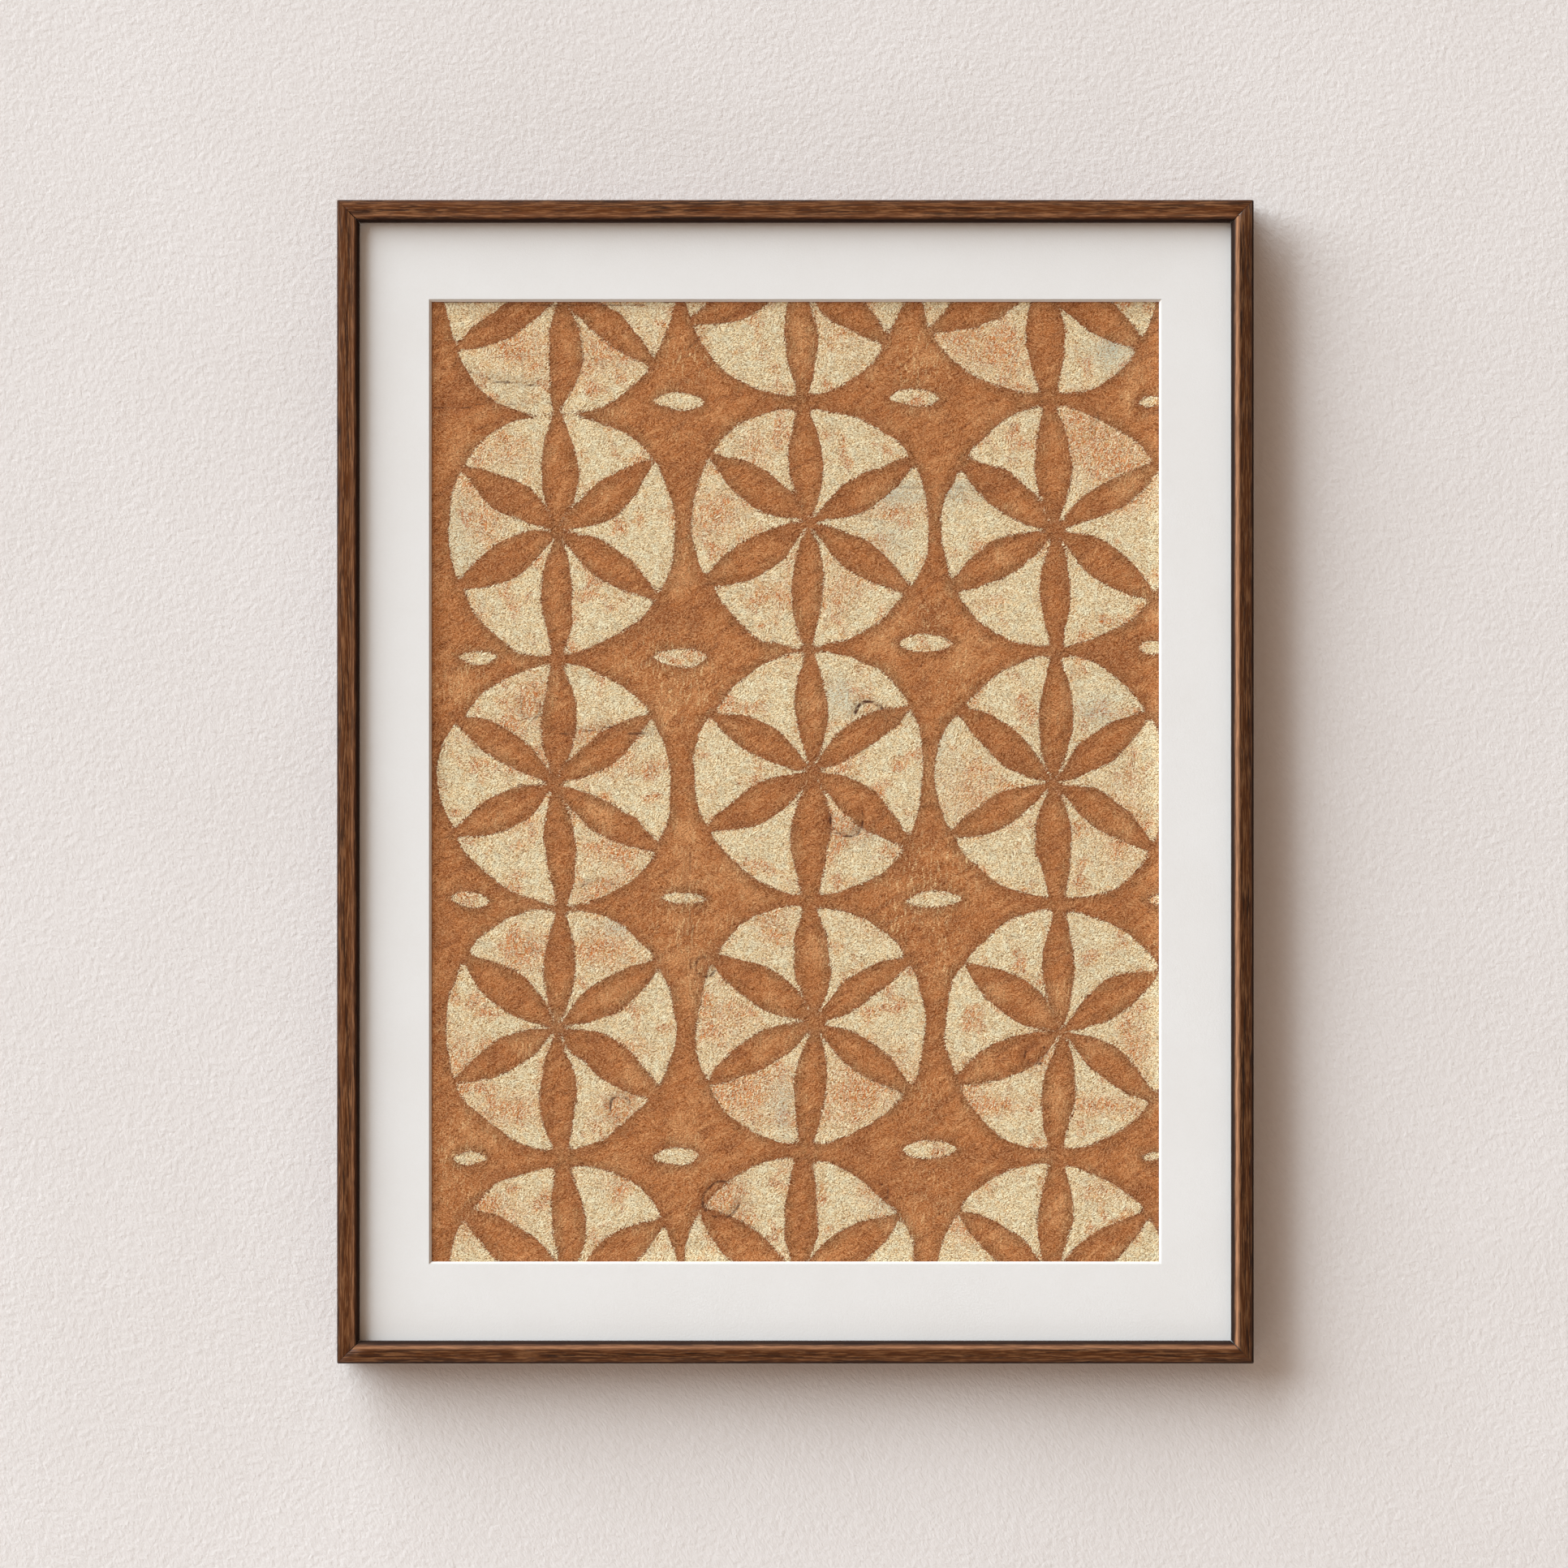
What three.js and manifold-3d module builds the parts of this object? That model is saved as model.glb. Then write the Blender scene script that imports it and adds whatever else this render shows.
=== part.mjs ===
// Tapa bark cloth mounted behind a bevelled window mat in a mitred hardwood frame.
// Millimetres, +Z up, +X to the right, and the front faces -Y.
// The origin is on the back of the top rail, halfway along it, where a wall holds the frame.

import * as THREE from "three";
import { mergeVertices } from "three/addons/utils/BufferGeometryUtils.js";
import Module from "manifold-3d";

// Frame
const FRAME_WIDTH = 574;
const FRAME_HEIGHT = 728.6;
const RAIL_WIDTH = 13.7;
const RAIL_DEPTH = 25;
const REBATE_WIDTH = 5.3;
const OUTER_ROUND = 1.2;
const LIP_ROUND = 3.5;
const ROUND_STEPS = 6;

// Window mat, cloth and backing board
const WINDOW_WIDTH = 456.6;
const WINDOW_HEIGHT = 602.5;
const MAT_THICKNESS = 1.5;
const MAT_SETBACK = 7.5;
const CLOTH_THICKNESS = 1.2;
const CLOTH_MARGIN = 12;
const CLOTH_COCKLE = 0.9;
const CLOTH_COLUMNS = 28;
const CLOTH_ROWS = 36;
const BOARD_THICKNESS = 10;

// Room between pieces that touch on the real frame, and how near two points are one
const CLEARANCE = 0.3;
const MERGE_DISTANCE = 1e-4;

// How far the window's cutter stands past both faces of the mat
const CUTTER_OVERRUN = 1;

// Depths forward of the back plane, worked out from the sizes above
const BACK_STRIP = RAIL_WIDTH - REBATE_WIDTH;
const MAT_FRONT = RAIL_DEPTH - MAT_SETBACK;
const MAT_BACK = MAT_FRONT - MAT_THICKNESS;
const LIP_BACK = MAT_FRONT + CLEARANCE;
const CLOTH_MIDDLE = MAT_BACK - CLEARANCE - CLOTH_COCKLE - CLOTH_THICKNESS / 2;
const BOARD_FRONT = CLOTH_MIDDLE - CLOTH_THICKNESS / 2 - CLOTH_COCKLE - CLEARANCE;
const REBATE_FIT = 2 * (BACK_STRIP + CLEARANCE);
const FRAME_CENTRE_Z = BACK_STRIP / 2 - FRAME_HEIGHT / 2;

// Slow waves of the dried cloth: height, waves across and down the sheet, and where each starts in turns
const COCKLES = [
  { height: 0.30, across: 1.1, down: 0.6, start: 0.10 },
  { height: 0.24, across: -0.7, down: 1.7, start: 0.35 },
  { height: 0.18, across: 2.3, down: 1.2, start: 0.72 },
  { height: 0.12, across: 1.6, down: -3.1, start: 0.20 },
];

// Ridges that show from a step away: middle from the window's centre, half sizes, turn in degrees, height.
// In order: upper left crease, left patch edge, middle crease, upper right patch, drawn-in patch, knot,
// lower left patch.
const RIDGES = [
  { x: -194, z: 254, long: 40, wide: 9, turn: -9, height: 0.35 },
  { x: -118, z: 31, long: 42, wide: 10, turn: 2, height: 0.30 },
  { x: -66, z: -82, long: 38, wide: 9, turn: 86, height: 0.32 },
  { x: 98, z: 184, long: 34, wide: 11, turn: 0, height: 0.32 },
  { x: 33, z: -24, long: 14, wide: 13, turn: 0, height: 0.45 },
  { x: 47, z: 46, long: 12, wide: 11, turn: 0, height: 0.38 },
  { x: -51, z: -268, long: 15, wide: 14, turn: 0, height: 0.35 },
];

// Finishes
const RAIL_WOOD = { color: 0x5c3a25, roughness: 0.42, metalness: 0 };
const MAT_PAPER = { color: 0xe6e2dc, roughness: 0.95, metalness: 0 };
const BARK = { color: 0xb98a5a, roughness: 0.9, metalness: 0 };
const BACKING = { color: 0xb99f7c, roughness: 0.95, metalness: 0 };

const wasm = await Module();
wasm.setup();

// A closed three.js geometry as a solid that can be cut
function toSolid(geometry) {
  geometry.deleteAttribute("normal");
  geometry.deleteAttribute("uv");
  const merged = mergeVertices(geometry, MERGE_DISTANCE);
  return new wasm.Manifold(new wasm.Mesh({
    numProp: 3,
    vertProperties: new Float32Array(merged.attributes.position.array),
    triVerts: new Uint32Array(merged.index.array),
  }));
}

// A cut solid back as a three.js geometry
function toGeometry(solid) {
  const mesh = solid.getMesh();
  const geometry = new THREE.BufferGeometry();
  geometry.setAttribute("position", new THREE.BufferAttribute(mesh.vertProperties, 3));
  geometry.setIndex(new THREE.BufferAttribute(mesh.triVerts, 1));
  geometry.computeVertexNormals();
  return geometry;
}

// Moves every point of a geometry by a function of the point
function reshape(geometry, move) {
  const points = geometry.attributes.position;
  const point = new THREE.Vector3();
  for (let i = 0; i < points.count; i += 1) {
    point.fromBufferAttribute(points, i);
    move(point);
    points.setXYZ(i, point.x, point.y, point.z);
  }
  return geometry;
}

function named(name, geometry, finish) {
  const mesh = new THREE.Mesh(geometry, new THREE.MeshStandardMaterial(finish));
  mesh.name = name;
  return mesh;
}

// Rail section: x runs inward from the outer edge, y runs forward from the back plane
function railSection() {
  const section = new THREE.Shape();
  section.moveTo(0, 0);
  section.lineTo(BACK_STRIP, 0);
  section.lineTo(BACK_STRIP, LIP_BACK);
  section.lineTo(RAIL_WIDTH, LIP_BACK);
  section.lineTo(RAIL_WIDTH, RAIL_DEPTH - LIP_ROUND);
  section.absarc(RAIL_WIDTH - LIP_ROUND, RAIL_DEPTH - LIP_ROUND, LIP_ROUND, 0, Math.PI / 2, false);
  section.lineTo(OUTER_ROUND, RAIL_DEPTH);
  section.absarc(OUTER_ROUND, RAIL_DEPTH - OUTER_ROUND, OUTER_ROUND, Math.PI / 2, Math.PI, false);
  section.lineTo(0, 0);
  return section;
}

// One rail lying along X with its outer edge at z = 0, both ends cut to the mitre
function railGeometry(length) {
  const geometry = new THREE.ExtrudeGeometry(railSection(), {
    depth: length, steps: 1, bevelEnabled: false, curveSegments: ROUND_STEPS,
  });
  const mitreRoom = CLEARANCE / 2 * Math.SQRT2;
  reshape(geometry, (point) => {
    const reach = length / 2 - point.x - mitreRoom;
    point.z = point.z > length / 2 ? reach : -reach;
  });
  const inward = new THREE.Vector3(0, 0, -1);
  const forward = new THREE.Vector3(0, -1, 0);
  const along = new THREE.Vector3(-1, 0, 0);
  return geometry.applyMatrix4(new THREE.Matrix4().makeBasis(inward, forward, along));
}

// The four rails, each turned about the frame's centre to face inward
function addRails(frame) {
  const rails = [
    { name: "rail_top", length: FRAME_WIDTH, reach: FRAME_HEIGHT / 2, turn: 0 },
    { name: "rail_right", length: FRAME_HEIGHT, reach: FRAME_WIDTH / 2, turn: Math.PI / 2 },
    { name: "rail_bottom", length: FRAME_WIDTH, reach: FRAME_HEIGHT / 2, turn: Math.PI },
    { name: "rail_left", length: FRAME_HEIGHT, reach: FRAME_WIDTH / 2, turn: -Math.PI / 2 },
  ];
  for (const { name, length, reach, turn } of rails) {
    const rail = named(name, railGeometry(length), RAIL_WOOD);
    rail.rotation.y = turn;
    rail.position.set(reach * Math.sin(turn), 0, reach * Math.cos(turn));
    frame.add(rail);
  }
}

// Cutter for the window: its sides spread by 45 degrees towards the front
function bevelCutter() {
  const depth = MAT_THICKNESS + 2 * CUTTER_OVERRUN;
  const cutter = new THREE.BoxGeometry(WINDOW_WIDTH, depth, WINDOW_HEIGHT);
  return reshape(cutter, (point) => {
    const spread = point.y < 0 ? MAT_THICKNESS + CUTTER_OVERRUN : -CUTTER_OVERRUN;
    point.x += Math.sign(point.x) * spread;
    point.z += Math.sign(point.z) * spread;
  });
}

function matBoard() {
  const board = new THREE.BoxGeometry(FRAME_WIDTH - REBATE_FIT, MAT_THICKNESS, FRAME_HEIGHT - REBATE_FIT);
  const mat = named("mat_board", toGeometry(toSolid(board).subtract(toSolid(bevelCutter()))), MAT_PAPER);
  mat.position.y = -(MAT_FRONT + MAT_BACK) / 2;
  return mat;
}

// Height of a soft ridge at a point: full at its middle and nothing past its half sizes
function ridgeAt(ridge, x, z) {
  const turn = THREE.MathUtils.degToRad(ridge.turn);
  const along = (x - ridge.x) * Math.cos(turn) + (z - ridge.z) * Math.sin(turn);
  const across = (z - ridge.z) * Math.cos(turn) - (x - ridge.x) * Math.sin(turn);
  const away = Math.min(1, Math.hypot(along / ridge.long, across / ridge.wide));
  return ridge.height * (1 - away * away) ** 2;
}

// How far the sheet stands forward of its middle plane at a point
function clothLift(x, z, width, height) {
  let lift = 0;
  for (const wave of COCKLES) {
    const turns = wave.across * x / width + wave.down * z / height + wave.start;
    lift += wave.height * Math.sin(2 * Math.PI * turns);
  }
  for (const ridge of RIDGES) {
    lift += ridgeAt(ridge, x, z);
  }
  return THREE.MathUtils.clamp(lift, -CLOTH_COCKLE, CLOTH_COCKLE);
}

// The bark cloth: one sheet, both faces following the same waves and ridges
function barkCloth() {
  const width = WINDOW_WIDTH + 2 * CLOTH_MARGIN;
  const height = WINDOW_HEIGHT + 2 * CLOTH_MARGIN;
  const sheet = new THREE.BoxGeometry(width, CLOTH_THICKNESS, height, CLOTH_COLUMNS, 1, CLOTH_ROWS);
  reshape(sheet, (point) => {
    point.y -= clothLift(point.x, point.z, width, height);
  });
  const cloth = named("bark_cloth", sheet, BARK);
  cloth.position.y = -CLOTH_MIDDLE;
  return cloth;
}

function backingBoard() {
  const board = new THREE.BoxGeometry(FRAME_WIDTH - REBATE_FIT, BOARD_THICKNESS, FRAME_HEIGHT - REBATE_FIT);
  const backing = named("backing_board", board, BACKING);
  backing.position.y = -(BOARD_FRONT - BOARD_THICKNESS / 2);
  return backing;
}

const framedCloth = new THREE.Group();
framedCloth.position.z = FRAME_CENTRE_Z;
addRails(framedCloth);
framedCloth.add(matBoard(), barkCloth(), backingBoard());

export default framedCloth;
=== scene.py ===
"""Looks of a painted tapa bark cloth, mounted behind a bevelled window mat in a mitred walnut frame.

Sizes in the classes are millimetres, as a framer would give them, and become metres when a mesh is made.
The front faces -Y, +X is to the right and +Z is up. Places on the cloth are measured from the window's
centre, x to the right and z upwards.
"""

import sys

import logging
import math
from dataclasses import dataclass, field
from enum import Enum
from functools import cache
from typing import Any

import bpy
import numpy as np
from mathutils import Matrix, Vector


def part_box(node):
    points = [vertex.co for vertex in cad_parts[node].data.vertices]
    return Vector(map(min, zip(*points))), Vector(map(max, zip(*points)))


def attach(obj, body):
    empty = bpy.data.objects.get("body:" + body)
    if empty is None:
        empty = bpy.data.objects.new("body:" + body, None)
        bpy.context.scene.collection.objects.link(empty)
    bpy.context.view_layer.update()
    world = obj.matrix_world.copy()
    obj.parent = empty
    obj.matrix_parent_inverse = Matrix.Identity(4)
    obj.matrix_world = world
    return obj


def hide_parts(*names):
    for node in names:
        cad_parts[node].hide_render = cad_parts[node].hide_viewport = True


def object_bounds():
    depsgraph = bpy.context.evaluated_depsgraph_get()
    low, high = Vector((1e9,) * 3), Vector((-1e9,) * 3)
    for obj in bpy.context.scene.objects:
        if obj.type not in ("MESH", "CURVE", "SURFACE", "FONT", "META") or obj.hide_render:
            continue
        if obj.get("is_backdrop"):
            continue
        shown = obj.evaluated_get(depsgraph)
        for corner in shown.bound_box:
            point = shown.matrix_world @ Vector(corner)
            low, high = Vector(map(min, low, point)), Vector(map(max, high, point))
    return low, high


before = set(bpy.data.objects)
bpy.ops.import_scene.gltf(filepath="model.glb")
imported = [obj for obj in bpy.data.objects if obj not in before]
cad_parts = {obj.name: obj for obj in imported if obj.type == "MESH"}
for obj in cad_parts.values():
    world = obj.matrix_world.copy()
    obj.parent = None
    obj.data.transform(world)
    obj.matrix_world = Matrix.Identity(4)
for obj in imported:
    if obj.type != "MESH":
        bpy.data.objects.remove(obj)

MM = 0.001
BODY = "root"
log = logging.getLogger("tapa")

Socket = bpy.types.NodeSocket
Value = float | tuple[float, ...] | Socket


@dataclass(frozen=True)
class Rail:
    """One rail of the frame: its solid, how it lies and how its wood looks.

    The quarter turns go clockwise from the top rail, seen from the front. The grain offset is where in the
    board the rail is cut from, in mm. The tone is how light it is beside the lightest wood, and the lip's
    light is how much painted light its lip gets, both from 0 to 1. A lip at 0 is painted dark with shade,
    and its rail gets painted highlights on the face instead. A lip at 1 gets a painted highlight, and
    painted shade only by the mat.
    """

    node: str
    quarter_turns: int
    grain_offset: float
    tone: float
    lip_light: float


# The right and lower lips catch the light and get painted highlights; the top and left lips are painted in
# shade
RAILS = (
    Rail("rail_top", 0, 0.0, 0.84, 0.0),
    Rail("rail_right", 1, 911.0, 0.48, 1.0),
    Rail("rail_bottom", 2, 2107.0, 0.63, 0.6),
    Rail("rail_left", 3, 3389.0, 0.74, 0.0),
)


class Layer(Enum):
    """Depths of the stack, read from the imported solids, in mm forward of the back plane."""

    RAIL_FRONT = "rail_top"
    MAT_FRONT = "mat_board"

    def depth(self) -> float:
        """The foremost depth of this layer's solid."""
        return -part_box(self.value)[0][1] / MM

    def back(self) -> float:
        """The rearmost depth of this layer's solid."""
        return -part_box(self.value)[1][1] / MM


@dataclass(frozen=True)
class FrameSizes:
    """Sizes shared by the pieces, in mm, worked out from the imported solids."""

    width: float
    height: float
    centre_z: float
    mat_width: float
    mat_height: float
    cloth_width: float
    cloth_height: float
    window_width: float
    window_height: float
    cloth_margin: float = 12.0

    @classmethod
    def from_frame(cls) -> "FrameSizes":
        """Reads the outer sizes of the frame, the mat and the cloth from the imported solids.

        Returns:
            The sizes that the visual pieces are built to.
        """
        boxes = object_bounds(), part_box("mat_board"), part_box("bark_cloth")
        across = [(high[0] - low[0]) / MM for low, high in boxes]
        up = [(high[2] - low[2]) / MM for low, high in boxes]
        return cls(
            width=across[0],
            height=up[0],
            centre_z=(boxes[0][1][2] + boxes[0][0][2]) / 2 / MM,
            mat_width=across[1],
            mat_height=up[1],
            cloth_width=across[2],
            cloth_height=up[2],
            window_width=across[2] - 2 * cls.cloth_margin,
            window_height=up[2] - 2 * cls.cloth_margin,
        )


def smooth_step(value: np.ndarray, low: float, high: float) -> np.ndarray:
    """Blend from 0 at low to 1 at high: 3t squared minus 2t cubed, with t clipped to 0..1."""
    t = np.clip((value - low) / (high - low), 0.0, 1.0)
    return t * t * (3.0 - 2.0 * t)


def hill(distance: np.ndarray, width: float) -> np.ndarray:
    """Bell curve of a distance, 1 at the crest: exp of minus the square of distance over width."""
    return np.exp(-np.square(distance / width))


def drift(x: np.ndarray, z: np.ndarray, size: float, seed: int) -> np.ndarray:
    """Seeded value noise from -1 to 1: random numbers on a square lattice, blended smoothly between.

    Args:
        x: Place across, in mm.
        z: Place up, in mm.
        size: Lattice spacing, in mm.
        seed: Seed of the random numbers.

    Returns:
        The noise at each place.
    """
    cells = 128
    table = np.random.default_rng(seed).uniform(-1.0, 1.0, (cells, cells))
    across, up = x / size + cells / 2, z / size + cells / 2
    i, j = np.floor(across).astype(int), np.floor(up).astype(int)
    f, g = across - i, up - j
    f, g = f * f * (3 - 2 * f), g * g * (3 - 2 * g)
    i0, i1, j0, j1 = i % cells, (i + 1) % cells, j % cells, (j + 1) % cells
    lower = table[i0, j0] * (1 - f) + table[i1, j0] * f
    upper = table[i0, j1] * (1 - f) + table[i1, j1] * f
    return lower * (1 - g) + upper * g


def soft_least(a: np.ndarray, b: np.ndarray, blend: np.ndarray) -> np.ndarray:
    """The lesser of two distances with its corner rounded: least minus h squared times blend over 4.

    Here h is how far the difference of the two falls short of blend, as a share of blend.
    """
    h = np.clip(1.0 - np.abs(a - b) / blend, 0.0, None)
    return np.minimum(a, b) - h * h * blend / 4


def segment_distance(x: np.ndarray, z: np.ndarray, start: tuple, end: tuple) -> np.ndarray:
    """Distance from each place to a straight line between two points.

    The foot of the perpendicular is clipped to the line's two ends.

    Args:
        x: Place across, in mm.
        z: Place up, in mm.
        start: First end, (x, z) in mm.
        end: Last end, (x, z) in mm.

    Returns:
        The distance in mm.
    """
    run, rise = end[0] - start[0], end[1] - start[1]
    along = ((x - start[0]) * run + (z - start[1]) * rise) / (run * run + rise * rise)
    along = np.clip(along, 0.0, 1.0)
    return np.hypot(x - start[0] - along * run, z - start[1] - along * rise)


@dataclass(frozen=True)
class Disc:
    """A cream disc of the lattice: centre and half sizes in mm."""

    x: float
    z: float
    half_width: float = 72.6
    half_height: float = 75.6


@dataclass(frozen=True)
class Eye:
    """A small cream eye on the ground: centre and half sizes in mm, and how clearly it was printed."""

    x: float
    z: float
    half_length: float = 16.5
    half_height: float = 5.2
    clarity: float = 1.0


@dataclass(frozen=True)
class Blot:
    """A soft round patch: centre, half sizes and turn, and how strong it is."""

    x: float
    z: float
    across: float
    up: float
    strength: float = 1.0
    turn: float = 0.0

    def amount(self, x: np.ndarray, z: np.ndarray) -> np.ndarray:
        """Bell-shaped amount of the patch at each place.

        Args:
            x: Place across, in mm.
            z: Place up, in mm.

        Returns:
            Strength at the middle, falling to nothing outside.
        """
        turn = math.radians(self.turn)
        along = (x - self.x) * math.cos(turn) + (z - self.z) * math.sin(turn)
        over = (z - self.z) * math.cos(turn) - (x - self.x) * math.sin(turn)
        return self.strength * hill(np.hypot(along / self.across, over / self.up), 1.0)


@dataclass(frozen=True)
class Crease:
    """A crease or patch edge: the points it runs through, half width, depth of its valley and darkness."""

    points: tuple[tuple[float, float], ...]
    width: float = 0.9
    depth: float = 0.3
    dark: float = 0.7

    def distance(self, x: np.ndarray, z: np.ndarray) -> np.ndarray:
        """Distance from each place to the nearest stretch of the crease, in mm."""
        stretches = zip(self.points, self.points[1:])
        return np.min([segment_distance(x, z, a, b) for a, b in stretches], axis=0)


@dataclass(frozen=True)
class Ring:
    """A drawn-in patch outline: a ring or part of one, by centre, radius and angles in degrees."""

    x: float
    z: float
    radius: float
    start: float = 0.0
    sweep: float = 360.0
    flatness: float = 1.0
    width: float = 1.0
    depth: float = 0.3
    dark: float = 0.8

    def distance(self, x: np.ndarray, z: np.ndarray) -> np.ndarray:
        """Distance to the ring: off its radius, joined at a right angle with the way past its two ends.

        Args:
            x: Place across, in mm.
            z: Place up, in mm.

        Returns:
            The distance in mm.
        """
        across, up = x - self.x, (z - self.z) / self.flatness
        away = np.abs(np.hypot(across, up) - self.radius)
        angle = np.mod(np.degrees(np.arctan2(up, across)) - self.start, 360.0)
        past = np.minimum(np.clip(angle - self.sweep, 0.0, None), 360.0 - angle)
        past = np.where(angle <= self.sweep, 0.0, past)
        return np.hypot(away, np.radians(past) * self.radius)


def rows_of(kind: type, *rows: tuple) -> tuple:
    """Makes one mark from each row of numbers, given in the order of the kind's fields."""
    return tuple(kind(*row) for row in rows)


@dataclass
class TapaPattern:
    """The painted lattice: where it is cream, and how it is stained, scuffed, patched and creased.

    Every row below was set one by one, and holds its mark's numbers in the order of the mark's fields.
    """

    petal_angles: tuple[float, ...] = (90.0, 147.0, 207.0, 270.0, 326.0, 33.0)
    petal_half_width: float = 11.4
    heart_radius: float = 4.6
    corner: tuple[float, float] = (1.0, 4.2)
    far: float = 15.0
    no_line: float = 9.0
    hand_seed: int = 5
    warp_seeds: tuple[int, int] = (11, 31)
    line_seeds: tuple[int, int] = (71, 72)
    # Five rows of three discs from the top, then the eyes between them
    discs: tuple[Disc, ...] = rows_of(
        Disc,
        (-147.6, 305.8), (1, 319.6), (153.7, 317.5), (-147.1, 156), (9, 161.6), (163, 158.6),
        (-149.2, -1.5), (10.2, 6.6), (163.1, 2), (-149, -154.4), (9.9, -151.9), (166.5, -156),
        (-144, -316), (2, -313.5), (161, -315.5),
    )
    eyes: tuple[Eye, ...] = rows_of(
        Eye,
        (-71.4, 237.7), (74.9, 240.8), (222.3, 240.3, 10, 4, 0.7), (-197.4, 79.2, 12.5, 4, 0.9),
        (-71.4, 79.8), (80.5, 87.4, 17, 5.8), (225.8, 84.3, 9, 4.5, 0.9), (-207, -75.7, 13, 5, 0.9),
        (-68.8, -73.7, 17, 4.6, 0.35), (85.6, -73.2, 18, 4.8), (227.3, -73.2, 9, 4, 0.8),
        (-201.9, -237.7, 10.5, 4.2, 0.9), (-73.9, -234.2, 15, 5.2), (84.1, -232.2, 17, 5.4),
        (225, -236, 8, 3.6, 0.5),
    )
    # Folds and sewn edges as short runs of points, then drawn-in patches as rings and parts of rings
    creases: tuple[Crease, ...] = rows_of(
        Crease,
        (((-226, 259.5), (-205, 257), (-182, 250.5), (-160, 249)),),
        (((-227, 234), (-205, 235.5), (-190, 238), (-172, 236)), 0.8),
        (((-152, 31), (-132, 31.5), (-118, 34), (-104, 30), (-84, 31)),),
        (((-66, -44), (-67.5, -70), (-64.5, -96), (-66, -120)), 0.8, 0.25, 0.4),
        (((-70, 270), (-30, 300), (-12, 300.5)), 0.8, 0.2, 0.4),
        (((66, 184.5), (98, 185.5), (129, 182)), 1, 0.3, 0.3),
        (((52, 38), (64, 39.5), (79, 37.5)), 0.7, 0.25, 0.5),
        (((-231, 301), (-150, 299.5), (-105, 298.5), (-60, 301)), 0.8, 0.2, 0.6),
    )
    rings: tuple[Ring, ...] = rows_of(
        Ring,
        (46, 43.5, 8.5, 10, 170, 0.7, 1.9, 0.5, 1), (33, -24, 10.5, 170, 230, 1, 1, 0.45, 0.9),
        (-47, -263, 11.5, 60, 300, 1, 1.1, 0.35, 0.85), (50.5, -257.5, 8, -40, 120, 0.8, 1.3, 0.35, 0.85),
        (-56, -116, 6, 90, 250, 1, 1.2, 0.35, 0.8), (-110, -205, 7, 20, 240, 0.9, 1, 0.3, 0.8),
        (-166, 47, 6, 150, 240, 1.2, 0.9, 0.25, 0.5), (151, -171, 7.5, 0, 300, 0.8, 1.1, 0.4, 0.85),
        (-123, -67, 12, 20, 140, 0.45, 1.1, 0.3, 0.8), (176, 228, 14, -60, 130, 1.1, 0.8, 0.3, 0.4),
    )
    # Orange stains on the cream, from the top row of discs down
    stains: tuple[Blot, ...] = rows_of(
        Blot,
        (-177, 276, 22, 14, 0.9, -20), (-121, 270, 26, 14, 0.8, 15), (30, 285, 24, 18, 0.35),
        (106, 276, 20, 13, 0.9, -30), (135, 268, 9, 18, 0.9), (196, 208, 32, 20, 1, -35),
        (205, 178, 16, 9, 0.7), (176, 222, 10, 16, 0.7), (-194, 165, 11, 16, 0.8), (-206, 187, 9, 9, 0.8),
        (-180, 208, 13, 9, 0.7), (-205, 105, 14, 9, 0.5), (-26, 208, 9, 15, 0.7), (-50, 168, 15, 13, 1),
        (44, 146, 14, 8, 0.5), (62, 170, 18, 5, 0.6, 6), (30, 122, 16, 9, 0.7, 30),
        (-14, 119, 14, 9, 0.5), (-167, 50, 12, 14, 1), (-122, 12, 20, 9, 0.9), (-131, 31, 14, 6, 0.7, 10),
        (-196, 30, 14, 8, 0.8), (-112, -44, 16, 9, 0.8), (-172, -26, 16, 9, 0.4), (34, -24, 11, 11, 1),
        (112, -7, 14, 20, 0.7), (205, -28, 16, 26, 0.6), (-122, -66, 17, 5, 0.9, 20),
        (-168, -106, 15, 12, 1), (-119, -104, 15, 12, 1), (-211, -176, 10, 18, 0.9),
        (-180, -206, 22, 9, 0.9, 8), (-111, -206, 13, 11, 1), (-108, -168, 18, 5, 0.8),
        (-14, -88, 11, 14, 0.7), (-46, -150, 16, 16, 0.6), (-36, -196, 26, 15, 1, 20),
        (42, -192, 32, 17, 1, 25), (52, -92, 14, 7, 0.4), (110, -190, 16, 14, 0.6), (122, -204, 16, 6, 1),
        (187, -203, 24, 6, 1), (151, -171, 11, 10, 1), (214, -165, 10, 17, 0.8),
        (-196, -275, 24, 12, 0.9, 10), (-112, -252, 11, 8, 0.5), (-46, -262, 14, 14, 1),
        (49, -257, 9, 8, 0.6), (108, -282, 12, 10, 0.7), (196, -256, 15, 8, 0.5),
        (-110, -292, 16, 7, 0.6),
    )
    # Places where the brown is scuffed through to the undyed fibre
    scuffs: tuple[Blot, ...] = rows_of(
        Blot,
        (-66, 264, 18, 12, 1), (-90, 78, 20, 18, 0.8), (-65, 58, 16, 22, 0.8), (78, 264, 16, 18, 1),
        (84, 104, 16, 11, 0.7), (-205, 66, 12, 20, 0.6), (-70, -90, 22, 26, 0.8), (84, -58, 30, 24, 1),
        (66, -90, 11, 17, 0.9), (92, -104, 12, 24, 0.8), (222, -112, 8, 20, 0.8),
        (-206, -200, 12, 20, 0.4), (-217, -244, 10, 22, 1), (82, -200, 12, 15, 0.8),
        (84, -262, 16, 24, 0.6), (-200, -262, 14, 18, 0.4), (100, 60, 20, 12, 0.6),
        (-62, 156, 10, 16, 0.4), (216, 118, 9, 22, 0.5), (-60, -268, 12, 22, 0.5),
    )
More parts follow.
